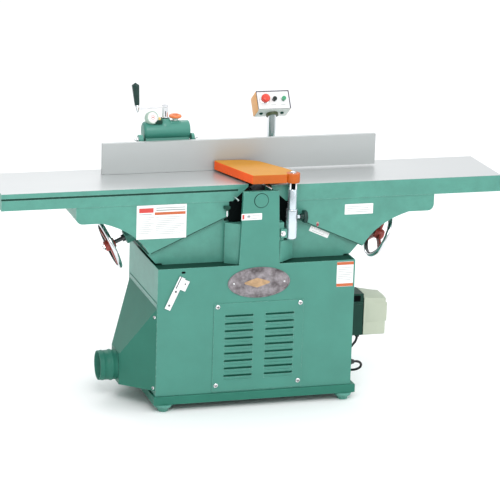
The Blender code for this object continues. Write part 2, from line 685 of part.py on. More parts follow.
def make_handwheel(side, hub, outwards, axis):
    """A dished spoked wheel on the lead screw's outer end."""
    rim = arc((WHEEL_RADIUS - WHEEL_TUBE, 0.0), WHEEL_TUBE, 0.0, 315.0, 7)
    wheel = solid(f"{side}_handwheel", turned(rim, hub, outwards, 28), "chrome", axis)
    bore = SCREW_RADIUS + GAP
    boss = [(0.020, -0.022), (0.022, -0.018), (0.022, 0.018), (0.020, 0.022), (bore, 0.022),
            (bore, -0.022)]
    join(wheel, turned(boss, hub, outwards, 24))
    spin = Matrix.Translation(hub) @ aim(outwards)
    for step in range(3):
        spoke = block((0.018, -0.009, -0.005), (WHEEL_RADIUS - 0.013, 0.009, 0.005))
        turn = spin @ Matrix.Rotation(math.radians(30 + 120 * step), 4, "Z")
        bmesh.ops.transform(spoke, matrix=turn, verts=spoke.verts)
        join(wheel, spoke)


def make_lead_nut(side, sign, on_screw):
    """The bronze nut block on the bed, round the lead screw."""
    centre = on_screw(-0.095)
    u = abs(centre.x - CUTTER_X)
    lift = GAP - GAP / math.cos(WAY_ANGLE)
    half = 0.018
    outline = [(CUTTER_X + sign * (u + du), way_height(u + du) + lift) for du in (-half, half)]
    outline += [(CUTTER_X + sign * (u + half), centre.z + 0.020),
                (CUTTER_X + sign * (u - half), centre.z + 0.020)]
    nut = solid(f"{side}_lead_nut", prism(outline, -0.020, 0.020), "cast_iron")
    cut(nut, rod(on_screw(-0.03), on_screw(-0.16), SCREW_RADIUS + GAP, 24))


def make_depth_pointer():
    """The red pointer on the infeed table's casting that reads the depth of cut."""
    x, z = 0.248, 0.722
    bm = prism([(x - 0.006, z + 0.010), (x + 0.006, z + 0.010), (x + 0.002, z - 0.020),
                (x - 0.002, z - 0.020)], -BODY_HALF - GAP - 0.002, -BODY_HALF - GAP)
    solid("depth_pointer", bm, "red_paint")


# ---------------------------------------------------------------- fence
def make_fence():
    """A fence plate and its housing, hinged on a saddle that slides across the outfeed table."""
    x0, x1 = HOUSING_X
    mid = (x0 + x1) / 2
    web = BODY_HALF + GAP
    bracket = solid("fence_bracket", block((x0, web, 0.715), (x1, web + 0.024, RAIL_Z)),
                    "green_paint")
    join(bracket, block((x0, web + 0.010, RAIL_Z - 0.026), (x1, 0.330, RAIL_Z)))

    table_rear = TABLE_WIDTH / 2
    floor = RAIL_Z + GAP
    arm_z = (FENCE_Z + 0.002, FENCE_Z + 0.0115)
    outline = [(HINGE_Y + 0.0038, arm_z[0]), (table_rear + 0.003, arm_z[0]),
               (table_rear + 0.003, floor), (0.300, floor), (0.300, floor + 0.015),
               (table_rear + 0.017, floor + 0.015), (table_rear + 0.017, arm_z[1]),
               (HINGE_Y + 0.0038, arm_z[1])]
    solid("fence_saddle", prism_side(outline, x0 + 0.015, x1 - 0.015), "green_paint")

    hinge = (mid, HINGE_Y, HINGE_Z)
    plate = solid("fence_plate",
                  block((FENCE_X[0], FENCE_Y, FENCE_Z),
                        (FENCE_X[1], FENCE_Y + FENCE_THICKNESS, FENCE_Z + FENCE_HEIGHT)),
                  "ground_steel", hinge)
    cut(plate, block((CUTTER_X - RELIEF_HALF, FENCE_Y - 0.01, FENCE_Z - 0.01),
                     (CUTTER_X + RELIEF_HALF, HINGE_Y, FENCE_Z + RELIEF_HEIGHT)))

    housing = solid("fence_housing", block((x0 - 0.010, 0.120, FLANGE_Z[0]),
                                           (x1 + 0.004, 0.225, FLANGE_Z[1])), "green_paint", hinge)
    back = FENCE_Y + FENCE_THICKNESS + GAP
    gusset = [(back, HINGE_Z + 0.012), (HINGE_Y + 0.002, HINGE_Z + 0.012),
              (HINGE_Y + 0.066, FLANGE_Z[0] + 0.001), (HINGE_Y + 0.066, FLANGE_Z[1]),
              (back, FLANGE_Z[1])]
    join(housing, prism_side(gusset, x0 + 0.030, x1 - 0.030),
         rod((x0, HOUSING_Y, HOUSING_Z), (x1, HOUSING_Y, HOUSING_Z), HOUSING_RADIUS, 36))
    spindle = Vector((mid + 0.004, HOUSING_Y, 0.0))
    boss_top = HOUSING_Z + HOUSING_RADIUS + 0.012
    join(housing, rod((spindle.x, spindle.y, HOUSING_Z), (spindle.x, spindle.y, boss_top),
                      0.020, 24))
    dial = Vector((x0 + 0.036, HOUSING_Y - 0.012, HOUSING_Z + HOUSING_RADIUS + 0.012))
    facing = Vector((0.25, -0.90, 0.35))
    join(housing, rod(dial + facing * 0.012, dial - facing * 0.020, 0.026, 28))

    make_crank(spindle, boss_top)
    profile = [(0.0, 0.0), (0.007, 0.0), (0.007, 0.010), (0.022, 0.012), (0.026, 0.016),
               (0.026, 0.020), (0.020, 0.024), (0.0, 0.026)]
    knob = Vector((mid + 0.047, HOUSING_Y, HOUSING_Z + HOUSING_RADIUS + GAP))
    solid("fence_lock_knob", turned(profile, knob, (0, 0, 1), 24), "orange_plastic", knob)


def make_crank(spindle, base_z):
    """The crank that moves the fence: a vertical spindle, a flat arm and a turning grip."""
    z0 = base_z + GAP
    z1 = z0 + CRANK_RISE
    arm = solid("crank_arm", rod((spindle.x, spindle.y, z0), (spindle.x, spindle.y, z1), 0.012),
                "chrome", (spindle.x, spindle.y, z0))
    end = Vector((spindle.x - CRANK_REACH, spindle.y - 0.020, z1 - 0.006))
    join(arm, rod((spindle.x, spindle.y, z1 - 0.006), end, 0.0055, 16))
    lean = Vector((-0.10, 0.0, 1.0)).normalized()
    join(arm, rod(end - lean * 0.008, end + lean * 0.012, 0.008, 16))
    foot = end + lean * (0.012 + GAP)
    profile = [(0.0, 0.0), (0.009, 0.0), (0.010, 0.004), (0.0145, 0.080), (0.0135, 0.088),
               (0.008, 0.093), (0.0, 0.094)]
    solid("crank_grip", turned(profile, foot, lean, 24), "black_plastic", foot)


# ---------------------------------------------------------------- cutter guard
def make_guard():
    """A swinging cutter guard on a telescopic post beside the neck."""
    px, py = GUARD_PIVOT.x, GUARD_PIVOT.y
    sleeve = solid("guard_sleeve", tube((px, py, 0.672), (px, py, 0.792), 0.0230, 0.0183, 32),
                   "chrome")
    join(sleeve, rod((px + 0.020, py, CLAMP_Z), (px + 0.034, py, CLAMP_Z), 0.007, 16))
    cut(sleeve, rod((px + 0.010, py, CLAMP_Z), (px + 0.040, py, CLAMP_Z), 0.0043, 16))
    face_y = WING_FRONT_Y - GAP
    arm_x = WING_RIGHT_X + GAP
    bracket = solid("guard_bracket", block((0.081, face_y - 0.012, 0.680),
                                           (px - 0.0233, face_y, 0.715)), "cast_iron")
    join(bracket, block((arm_x, face_y - 0.012, 0.680), (px - 0.0233, py + 0.014, 0.715)))

    post = solid("guard_post", rod((px, py, 0.700), (px, py, 0.878), 0.0180, 32), "chrome",
                 GUARD_PIVOT)
    join(post, rod((px, py, 0.870), (px, py, GUARD_Z[0] - GAP), 0.0110, 24),
         rod((px, py, 0.890), (px, py, GUARD_Z[1] + 0.004), 0.0060, 24))

    lobe = arc((px, py), 0.026, -90.0, 60.0, 8)
    outline = [(-0.037, -0.205)] + lobe + [(0.139, -0.140), (0.058, 0.022), (-0.005, 0.058),
                                           (-0.112, 0.0645), (-0.119, 0.054)]
    plate = solid("guard_plate", plate_from_top(outline, GUARD_Z[0], GUARD_Z[1]),
                  "orange_plastic", (px, py, GUARD_Z[0]))
    cut(plate, rod((px, py, 0.88), (px, py, 0.95), 0.0063, 24))
    edge_round = plate.modifiers.new("edge_round", "BEVEL")
    edge_round.width = 0.003
    edge_round.segments = 1

    start = (px + 0.0185, py, CLAMP_Z)
    profile = [(0.0, 0.0), (0.004, 0.0), (0.004, 0.0165), (0.010, 0.017), (0.012, 0.022),
               (0.020, 0.024), (0.024, 0.030), (0.022, 0.040), (0.010, 0.044), (0.0, 0.044)]
    solid("guard_clamp_knob", turned(profile, start, (1, 0, 0), 24), "black_plastic", start)


# ---------------------------------------------------------------- electrics
def make_pedestal():
    """A round column on the rear wall that carries the three-button control box."""
    x, y = COLUMN.x, COLUMN.y
    wall = CABINET_Y[1] + GAP
    bracket = solid("column_bracket",
                    block((x - 0.040, wall, 0.470), (x + 0.040, wall + 0.008, 0.565)),
                    "green_paint")
    join(bracket, block((x - 0.026, wall, 0.480), (x + 0.026, y + 0.028, 0.555)))
    cut(bracket, rod((x, y, 0.4), (x, y, 0.6), COLUMN_RADIUS + GAP, 32))
    column = solid("control_column", rod((x, y, 0.484), (x, y, 1.20), COLUMN_RADIUS, 32), "chrome")

    low = Vector((x, y - 0.005, 1.058))
    depth = Vector((0.0, math.cos(BOX_TILT), -math.sin(BOX_TILT)))
    up = Vector((0.0, math.sin(BOX_TILT), math.cos(BOX_TILT)))
    half_x, half_y = BOX_SIZE.x / 2, BOX_SIZE.y / 2
    bm = rounded(block((-half_x, -half_y, 0.0), (half_x, half_y, BOX_SIZE.z)), 0.004)
    tilt = Matrix.Translation(low) @ Matrix.Rotation(-BOX_TILT, 4, "X")
    bmesh.ops.transform(bm, matrix=tilt, verts=bm.verts)
    box = solid("control_box", bm, "orange_plastic")
    above = block((-0.2, -0.2, -GAP), (0.2, 0.2, 0.4))
    bmesh.ops.transform(above, matrix=tilt, verts=above.verts)
    cut(column, above)

    middle = low - depth * (BOX_SIZE.y / 2) + up * (BOX_SIZE.z / 2 + 0.002)
    out = -depth
    buttons = (("emergency_stop_button", -0.038, 0.0185, 0.026, "red_plastic"),
               ("start_button", 0.003, 0.0100, 0.012, "black_plastic"),
               ("feed_button", 0.042, 0.0100, 0.012, "green_plastic"))
    for name, dx, radius, height, kind in buttons:
        place = middle + Vector((dx, 0.0, 0.0))
        well = place - out * 0.012
        cut(box, rod(well, place + out * 0.02, radius * 0.62 + 0.0006, 24))
        stem = radius * 0.62
        top = BUTTON_SINK + height
        profile = [(0.0, 0.0), (stem, 0.0), (stem, BUTTON_SINK + 0.0045),
                   (radius, BUTTON_SINK + 0.0050), (radius, BUTTON_SINK + height * 0.7),
                   (radius * 0.75, top), (0.0, top)]
        start = place - out * 0.0062
        solid(name, turned(profile, start, out, 28), kind, place)


def smooth_route(route, spacing):
    """Points along a Catmull-Rom curve through the route, at about equal spacing."""
    points = [Vector(p) for p in route]
    points = [points[0] * 2 - points[1], *points, points[-1] * 2 - points[-2]]
    fine = []
    for a, b, c, d in zip(points, points[1:], points[2:], points[3:]):
        for step in range(20):
            t = step / 20
            fine.append(0.5 * (2 * b + (c - a) * t + (2 * a - 5 * b + 4 * c - d) * t ** 2
                               + (3 * b - a - 3 * c + d) * t ** 3))
    fine.append(points[-2])
    length = sum((q - p).length for p, q in zip(fine, fine[1:]))
    count = max(2, round(length / spacing))
    picked = [fine[0]]
    travelled = 0.0
    for p, q in zip(fine, fine[1:]):
        travelled += (q - p).length
        if travelled >= len(picked) * length / count and len(picked) < count:
            picked.append(q)
    picked.append(fine[-1])
    return picked


def make_cable():
    """The cable from the starter enclosure back into the cabinet."""
    curve = bpy.data.curves.new("control_cable", "CURVE")
    curve.dimensions = "3D"
    curve.bevel_depth = CABLE_RADIUS
    curve.bevel_resolution = 2
    curve.use_fill_caps = True
    points = smooth_route(CABLE_ROUTE, 2.4 * CABLE_RADIUS)
    spline = curve.splines.new("POLY")
    spline.points.add(len(points) - 1)
    for place, point in zip(points, spline.points):
        point.co = (*place, 1.0)
    add_object("control_cable", curve, "black_rubber")


def make_switch_box():
    """The starter enclosure on the right wall, the gland below it and its cable."""
    wall = CABINET_X[1] + GAP
    y0, y1 = SWITCH_Y
    z0, z1 = SWITCH_Z
    base = block((wall, y0 + 0.004, z0), (wall + SWITCH_BASE, y1 - 0.004, z1))
    solid("switch_box_base", base, "dark_green_paint")
    x0 = wall + SWITCH_BASE + GAP
    x1 = x0 + SWITCH_COVER
    cover = solid("switch_box_cover", rounded(block((x0, y0, z0), (x1, y1, z1)), 0.005),
                  "beige_plastic")
    join(cover, rounded(block((x1 - 0.02, y0 + 0.006, z0 + 0.054),
                              (x1 + 0.008, y1 - 0.006, z1 - 0.039)), 0.003))
    end = Vector(CABLE_ROUTE[-1])
    profile = [(0.0, 0.0), (0.013, 0.0), (0.013, 0.010), (0.009, 0.012),
               (0.009, end.x - wall - GAP), (0.0, end.x - wall - GAP)]
    solid("wall_gland", turned(profile, (wall, end.y, end.z), (1, 0, 0), 20), "black_plastic")


# ---------------------------------------------------------------- build
clear_scene()
frame_empty()
make_cabinet()
make_base()
make_access_panel()
make_nameplate()
make_front_lever()
make_dust_hood()
make_chip_chute()
make_bed()
make_neck()
make_bearings()
make_cutterhead()
make_drive()
make_rear_cover()
outfeed_screw = make_table("outfeed", -1, Vector((0.0, 0.0, 0.0)))
infeed_screw = make_table("infeed", 1, Vector((INFEED_SLIDE * WAY.x, 0.0, -DEPTH_OF_CUT)))
make_lead_nut("outfeed", -1, outfeed_screw)
make_lead_nut("infeed", 1, infeed_screw)
make_depth_pointer()
make_fence()
make_guard()
make_pedestal()
make_switch_box()
make_cable()
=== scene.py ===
"""Looks of a large woodworking jointer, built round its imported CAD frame."""
import json
from math import atan2, copysign, cos, pi, radians, sin, sqrt, tan

import bmesh
import bpy
from mathutils import Matrix, Vector

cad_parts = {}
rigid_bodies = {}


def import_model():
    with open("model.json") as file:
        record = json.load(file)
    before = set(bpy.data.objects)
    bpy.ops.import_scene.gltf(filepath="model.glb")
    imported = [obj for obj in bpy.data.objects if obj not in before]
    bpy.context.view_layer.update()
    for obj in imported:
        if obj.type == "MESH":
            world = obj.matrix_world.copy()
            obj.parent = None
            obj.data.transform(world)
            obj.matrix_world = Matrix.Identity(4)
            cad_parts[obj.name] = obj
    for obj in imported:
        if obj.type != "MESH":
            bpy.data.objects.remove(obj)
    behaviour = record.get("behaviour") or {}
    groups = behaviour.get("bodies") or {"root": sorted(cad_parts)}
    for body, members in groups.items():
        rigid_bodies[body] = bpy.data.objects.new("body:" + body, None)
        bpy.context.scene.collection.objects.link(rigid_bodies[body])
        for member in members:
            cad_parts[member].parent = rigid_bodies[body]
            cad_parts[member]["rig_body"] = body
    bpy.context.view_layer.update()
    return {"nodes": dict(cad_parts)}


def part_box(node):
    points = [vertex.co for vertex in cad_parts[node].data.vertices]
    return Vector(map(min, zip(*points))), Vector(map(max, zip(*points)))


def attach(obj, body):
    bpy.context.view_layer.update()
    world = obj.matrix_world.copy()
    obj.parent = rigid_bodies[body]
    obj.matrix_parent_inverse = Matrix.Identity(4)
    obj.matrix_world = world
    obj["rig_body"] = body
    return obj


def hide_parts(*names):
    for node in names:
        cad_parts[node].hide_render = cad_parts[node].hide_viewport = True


for old in list(bpy.data.objects):
    bpy.data.objects.remove(old, do_unlink=True)
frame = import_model()
NODES = frame["nodes"]
table_low, table_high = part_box("outfeed_table")
LINE_Y = ((table_low + table_high) / 2).y      # the tables' centre line


def at(x, y, z):
    """A point measured from the tables' centre line."""
    return Vector((x, y + LINE_Y, z))


def linked(name, data):
    """A new object in the scene."""
    obj = bpy.data.objects.new(name, data)
    bpy.context.scene.collection.objects.link(obj)
    return obj


# ---------------------------------------------------------------- camera, light and floor
CAMERA_AT = at(-2.663, -8.716, 3.137)
YAW, PITCH, ROLL = radians(16.2), radians(13.9), radians(1.58)
SENSOR_MM = 36
FOCAL = 2373 / 500                             # this and the shifts are in frame widths
SHIFT_X, SHIFT_Y = 35 / 500, -75 / 500
LIT_POINT = Vector((0, 0, 0.6))


def make_camera():
    forward = Vector((sin(YAW) * cos(PITCH), cos(YAW) * cos(PITCH), -sin(PITCH)))
    right = Vector((cos(YAW), -sin(YAW), 0))
    up = right.cross(forward)
    rolled_right = right * cos(ROLL) + up * sin(ROLL)
    rolled_up = up * cos(ROLL) - right * sin(ROLL)
    data = bpy.data.cameras.new("camera")
    data.sensor_width = SENSOR_MM
    data.lens = FOCAL * SENSOR_MM
    data.shift_x = SHIFT_X
    data.shift_y = SHIFT_Y
    data.clip_end = 100
    camera = linked("camera", data)
    turn = Matrix((rolled_right, rolled_up, -forward)).transposed().to_4x4()
    camera.matrix_world = Matrix.Translation(CAMERA_AT) @ turn
    bpy.context.scene.camera = camera


def area_light(name, place, size, power):
    data = bpy.data.lights.new(name, "AREA")
    data.shape = "RECTANGLE"
    data.size, data.size_y = size
    data.energy = power
    aim = (LIT_POINT - Vector(place)).to_track_quat("-Z", "Y").to_matrix().to_4x4()
    linked(name, data).matrix_world = Matrix.Translation(place) @ aim


def tools(tree):
    """Four short calls on a node tree: add a node with its values, link, remap and multiply."""
    link = tree.links.new

    def node(kind, **values):
        made = tree.nodes.new("ShaderNode" + kind)
        for key, value in values.items():
            if key in made.inputs:
                made.inputs[key].default_value = value
            else:
                setattr(made, key, value)
        return made

    def remap(value, *limits):
        made = node("MapRange")
        for key, limit in zip(("From Min", "From Max", "To Min", "To Max"), limits):
            made.inputs[key].default_value = limit
        link(value, made.inputs["Value"])
        return made.outputs["Result"]

    def product(first, second):
        made = node("Math", operation="MULTIPLY")
        link(first, made.inputs[0])
        link(second, made.inputs[1])
        return made.outputs["Value"]

    return node, link, remap, product


def make_world():
    """A white studio: dimmer from the left and near the horizon, brighter from above."""
    world = bpy.data.worlds.new("studio")
    world.use_nodes = True
    node, link, remap, product = tools(world.node_tree)
    split = node("SeparateXYZ")
    link(node("TexCoord").outputs["Generated"], split.inputs["Vector"])
    side = remap(split.outputs["X"], -0.9, 0.4, 0.6, 1)
    rise = remap(split.outputs["Z"], 0.05, 0.9, 0.85, 1.5)
    studio = world.node_tree.nodes["Background"]
    studio.inputs["Color"].default_value = (0.97, 0.985, 1, 1)
    link(product(side, rise), studio.inputs["Strength"])
    bpy.context.scene.world = world


def make_stage():
    make_world()
    bpy.context.scene.view_settings.view_transform = "Standard"
    area_light("key", (-0.8, -3.4, 3.4), (2.4, 1.4), 60)
    area_light("fill", (3.4, -2.8, 2.2), (1.6, 2), 12)
    area_light("back", (0.4, 3.6, 3.6), (3, 1.5), 40)
    bm = bmesh.new()
    bmesh.ops.create_grid(bm, x_segments=1, y_segments=1, size=60)
    mesh = bpy.data.meshes.new("floor")
    bm.to_mesh(mesh)
    bm.free()
    floor = linked("floor", mesh)
    mesh.materials.append(surface("floor", (0.97, 0.97, 0.97), 0.8, blotch=0.6, tint=0.005, grain=600))


# ---------------------------------------------------------------- materials
COAT_ROUGHNESS = 0.12
WEAR_WIDTH = 0.0022                            # how far worn paint reaches from an edge


def surface(name, color, roughness, metallic=0, blotch=9, tint=0.05, grain=900, bump=0,
            stretch=(1, 1, 1), coat=0, spread=0.06, wear=None, second=None, specular=0.5):
    """A procedural finish: large soft colour changes, fine grain, and optional worn edges."""
    mat = bpy.data.materials.new(name)
    mat.use_nodes = True
    node, link, remap, product = tools(mat.node_tree)
    shader = mat.node_tree.nodes["Principled BSDF"]
    shader.inputs["Metallic"].default_value = metallic
    shader.inputs["Coat Weight"].default_value = coat
    shader.inputs["Coat Roughness"].default_value = COAT_ROUGHNESS
    shader.inputs["Specular IOR Level"].default_value = specular

    position = node("TexCoord").outputs["Object"]
    mapping = node("Mapping", Scale=stretch)
    link(position, mapping.inputs["Vector"])
    broad = node("TexNoise", Scale=blotch, Detail=4, Roughness=0.6)
    fine = node("TexNoise", Scale=grain, Detail=3, Roughness=0.6)
    for noise in (broad, fine):
        link(mapping.outputs["Vector"], noise.inputs["Vector"])
    dark = [c * (1 - tint) for c in second or color]
    light = [min(1, c * (1 + tint)) for c in color]
    ramp = node("ValToRGB")
    for stop, place, shade in zip(ramp.color_ramp.elements, (0.32, 0.68), (dark, light)):
        stop.position = place
        stop.color = (*shade, 1)
    link(broad.outputs["Fac"], ramp.inputs["Fac"])
    paint = ramp.outputs["Color"]
    if wear:
        rounded = node("Bevel", samples=4, Radius=WEAR_WIDTH)
        facing = node("VectorMath", operation="DOT_PRODUCT")
        link(rounded.outputs["Normal"], facing.inputs[0])
        link(node("NewGeometry").outputs["Normal"], facing.inputs[1])
        chips = node("TexNoise", Scale=90, Detail=5, Roughness=0.7)
        link(position, chips.inputs["Vector"])
        edge = remap(facing.outputs["Value"], 0.985, 0.9, 0, 1)
        chipped = remap(chips.outputs["Fac"], 0.45, 0.62, 0.25, 1)
        mix = node("Mix", data_type="RGBA")
        link(product(edge, chipped), mix.inputs["Factor"])
        link(paint, mix.inputs[6])
        mix.inputs[7].default_value = (*wear, 1)
        paint = mix.outputs[2]
    link(paint, shader.inputs["Base Color"])
    rough = remap(fine.outputs["Fac"], 0, 1, max(0.02, roughness - spread), roughness + spread)
    link(rough, shader.inputs["Roughness"])
    if bump:
        relief = node("Bump", Strength=bump, Distance=0.001)
        link(fine.outputs["Fac"], relief.inputs["Height"])
        link(relief.outputs["Normal"], shader.inputs["Normal"])
    return mat


PAINT, SLOTS = {}, {}


def finish(key, slot, name, *look, **detail):
    """Keeps a material under a short key, with the record's slot that it stands for."""
    PAINT[key] = surface(name, *look, **detail)
    SLOTS[key] = slot


EDGE_GREEN, EDGE_ORANGE = (0.3, 0.55, 0.47), (0.85, 0.42, 0.17)
finish("green", "green_paint", "green_enamel", (0.052, 0.244, 0.188), 0.38, grain=420, bump=0.1,
       coat=0.1, wear=EDGE_GREEN)
finish("cast", "green_paint", "green_casting", (0.08, 0.292, 0.23), 0.42, tint=0.09, blotch=14,
       grain=160, bump=0.35, coat=0.08, wear=EDGE_GREEN)
# Painted shade: a darker copy of the green enamel, for parts that sit in shade (hood, port, base rail, louvre
# lips).
finish("low_green", "green_paint", "green_enamel_painted_shade", (0.03, 0.176, 0.126), 0.42, grain=420, bump=0.1,
       specular=0.2, wear=(0.2, 0.42, 0.35))
finish("dark", "dark_green_paint", "dark_green_enamel", (0.005, 0.046, 0.031), 0.55, tint=0.12,
       grain=300, bump=0.12, specular=0.25, wear=(0.1, 0.25, 0.2))
finish("steel", "ground_steel", "ground_steel", (0.6, 0.615, 0.615), 0.28, 0.6, blotch=3, tint=0.02,
       grain=260, stretch=(0.04, 1, 1), spread=0.004)
finish("fence_steel", "ground_steel", "fence_steel", (0.48, 0.505, 0.5), 0.38, 0.35, blotch=1.6,
       tint=0.07, grain=260, stretch=(0.15, 1, 1), spread=0.03)
finish("bright", "ground_steel", "bright_steel", (0.8, 0.8, 0.81), 0.22, 1, blotch=30, tint=0.07,
       grain=700, bump=0.03, spread=0.08)
finish("chrome", "chrome", "chrome_plate", (0.74, 0.755, 0.77), 0.1, 1, blotch=25, tint=0.03, bump=0.01,
       spread=0.03)
finish("oiled", "dark_steel", "oiled_steel", (0.13, 0.13, 0.135), 0.38, 1, blotch=60, tint=0.25,
       grain=600, bump=0.1)
finish("iron", "cast_iron", "cast_iron", (0.055, 0.058, 0.06), 0.52, 0.5, blotch=40, tint=0.25,
       grain=240, bump=0.4)
finish("black", "black_plastic", "black_plastic", (0.012, 0.02, 0.018), 0.36, blotch=50, tint=0.2,
       bump=0.06, specular=0.35)
finish("rubber", "black_rubber", "black_rubber", (0.012, 0.012, 0.013), 0.62, blotch=60, tint=0.25,
       grain=1200, bump=0.2)
finish("orange", "orange_plastic", "orange_guard", (0.52, 0.108, 0.006), 0.45, blotch=12, grain=500,
       bump=0.12, specular=0.35, wear=EDGE_ORANGE)
# Painted light: lit copies of the guard's orange, a brighter redder one for the left-facing side and a
# lighter yellower one for the top.
finish("orange_painted_lit_side", "orange_plastic", "orange_guard_painted_lit_side", (0.92, 0.11, 0.01), 0.45, blotch=12,
       grain=500, bump=0.12, specular=0.35, wear=(0.95, 0.4, 0.17))
finish("orange_painted_lit_top", "orange_plastic", "orange_guard_painted_lit_top", (0.57, 0.245, 0.008), 0.5, grain=500,
       bump=0.1, specular=0.3, wear=EDGE_ORANGE)
finish("box_orange", "orange_plastic", "orange_box", (0.86, 0.42, 0.13), 0.42, tint=0.04, grain=700,
       bump=0.1)
finish("knob_orange", "orange_plastic", "orange_knob", (0.8, 0.2, 0.05), 0.3, tint=0.08, grain=700,
       bump=0.05, coat=0.3)
finish("red", "red_paint", "red_enamel", (0.36, 0.045, 0.03), 0.35, tint=0.12, blotch=30, grain=500,
       bump=0.1, coat=0.2)
finish("stop_red", "red_plastic", "stop_red", (0.78, 0.05, 0.025), 0.26, bump=0.03, coat=0.4)
finish("go_green", "green_plastic", "go_green", (0.035, 0.32, 0.15), 0.28, bump=0.03, coat=0.4)
finish("beige", "beige_plastic", "beige_cover", (0.47, 0.515, 0.405), 0.5, tint=0.03, blotch=8,
       grain=800, bump=0.12)
finish("pale", "beige_plastic", "pale_face", (0.8, 0.82, 0.78), 0.4, tint=0.02, bump=0.02)
finish("label", "beige_plastic", "label_white", (0.86, 0.87, 0.86), 0.32, tint=0.015, bump=0.02,
       coat=0.3)
finish("label_band", "orange_plastic", "label_band", (0.54, 0.115, 0.028), 0.32, tint=0.03, bump=0.02,
       coat=0.3)
finish("label_rule", "black_plastic", "label_rule", (0.3, 0.33, 0.33), 0.4)
finish("border", "black_plastic", "dark_border", (0.055, 0.045, 0.075), 0.4, tint=0.1)
finish("bronze", "plate_bronze", "aged_bronze", (0.3, 0.275, 0.29), 0.4, 0.75, blotch=34, tint=0.25,
       second=(0.13, 0.11, 0.115), grain=320, bump=0.5)
finish("brass", "plate_bronze", "brass", (0.78, 0.56, 0.22), 0.25, 1, blotch=40, tint=0.1, grain=700)
finish("brass_dull", "plate_bronze", "dull_brass", (0.5, 0.33, 0.19), 0.42, 0.8, blotch=60, tint=0.2,
       grain=500, bump=0.2)
finish("pale_green", "green_paint", "pale_green_casting", (0.42, 0.56, 0.47), 0.42, tint=0.06,
       blotch=40, grain=300, bump=0.15, coat=0.15)
finish("grip", "black_plastic", "dark_grip", (0.006, 0.036, 0.029), 0.34, tint=0.2, blotch=60,
       bump=0.08, coat=0.05, specular=0.35)
finish("maroon", "red_paint", "knob_centre", (0.26, 0.05, 0.02), 0.45, tint=0.15, blotch=80, grain=800,
       bump=0.1)
finish("olive", "dark_green_paint", "olive_collar", (0.065, 0.085, 0.03), 0.45, tint=0.2, blotch=60,
       grain=500, bump=0.15)
finish("red_mark", "red_plastic", "red_print", (0.62, 0.06, 0.05), 0.4, tint=0.06)
finish("dot_red", "red_paint", "pointer_dot", (0.3, 0.018, 0.045), 0.4, tint=0.08)
finish("pointer", "red_paint", "pointer_blade", (0.42, 0.3, 0.27), 0.45)
# Painted shade: near-black for openings, gaps, slits, seams, grooves and recesses where shade falls.
finish("shade", "dark_green_paint", "painted_shade_inside", (0.002, 0.004, 0.004), 0.8, tint=0.2, grain=300,
       bump=0.1, specular=0.05)
finish("sleeve", "chrome", "sleeve_plate", (0.66, 0.74, 0.79), 0.2, 0.8, blotch=40, grain=700,
       bump=0.02)


# ---------------------------------------------------------------- shape helpers
UP, RIGHT, LEFT, FRONT, REAR = (0, 0, 1), (1, 0, 0), (-1, 0, 0), (0, -1, 0), (0, 1, 0)
ORIGIN = (0, 0, 0)


def mm(*numbers):
    """Pairs of millimetres as points in metres."""
    return [(a / 1000, b / 1000) for a, b in zip(numbers[::2], numbers[1::2])]


def placed(x, y, z):
    return Matrix.Translation((x, y, z))


def spun(degrees, axis):
    return Matrix.Rotation(radians(degrees), 4, axis)


def toward(direction):
    return Vector(direction).normalized().to_track_quat("Z", "Y").to_matrix().to_4x4()


def moved(bm, matrix):
    bmesh.ops.transform(bm, matrix=matrix, verts=bm.verts)
    return bm


def tinted(bm, index):
    for face in bm.faces:
        face.material_index = index
    return bm


def merged(*parts):
    """Several bmeshes as one."""
    whole = parts[0]
    for part in parts[1:]:
        mesh = bpy.data.meshes.new("part")
        part.to_mesh(mesh)
        part.free()
        whole.from_mesh(mesh)
        bpy.data.meshes.remove(mesh)
    return whole


def add_piece(name, bm, mats, body, slot=None, stands_for=None, bevel=0, segments=2, sharp=35):
    """Turns a bmesh into a piece on a body; mats is one finish or a list of them."""
    mats = [mats] if isinstance(mats, str) else mats
    bmesh.ops.recalc_face_normals(bm, faces=bm.faces)
    mesh = bpy.data.meshes.new(name)
    bm.to_mesh(mesh)
    bm.free()
    for key in mats:
        mesh.materials.append(PAINT[key])
    mesh.shade_smooth()
    mesh.set_sharp_from_angle(angle=radians(sharp))
    obj = linked(name, mesh)
    if bevel:
        mod = obj.modifiers.new("edge", "BEVEL")
        mod.width = bevel
        mod.segments = segments
        mod.limit_method = "ANGLE"
        mod.angle_limit = radians(30)
        mod.harden_normals = True
    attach(obj, body)
    if stands_for:
        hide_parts(stands_for)


def refine(node, mats, bevel, segments=2, edit=None):
    """The CAD node's shape with its flat faces whole again and its edges rounded, in the node's place."""
    bm = bmesh.new()
    bm.from_mesh(NODES[node].data)
    for layer in list(bm.loops.layers.uv):
        bm.loops.layers.uv.remove(layer)
    bmesh.ops.remove_doubles(bm, verts=bm.verts, dist=2e-5)
    bmesh.ops.dissolve_limit(bm, angle_limit=radians(0.6), verts=bm.verts, edges=bm.edges)
    tinted(bm, 0)
    if edit:
        edit(bm)
    add_piece(node + "_body", bm, mats, NODES[node]["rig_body"], None, node, bevel, segments)


def block(low, high, round_by=0, segments=2):
    bm = bmesh.new()
    low, high = Vector(low), Vector(high)
    bmesh.ops.create_cube(bm, size=1)
    moved(bm, Matrix.Translation((low + high) / 2) @ Matrix.Diagonal((*(high - low), 1)))
    if round_by:
        bmesh.ops.bevel(bm, geom=list(bm.edges), offset=round_by, segments=segments, affect="EDGES",
                        profile=0.5)
    return bm


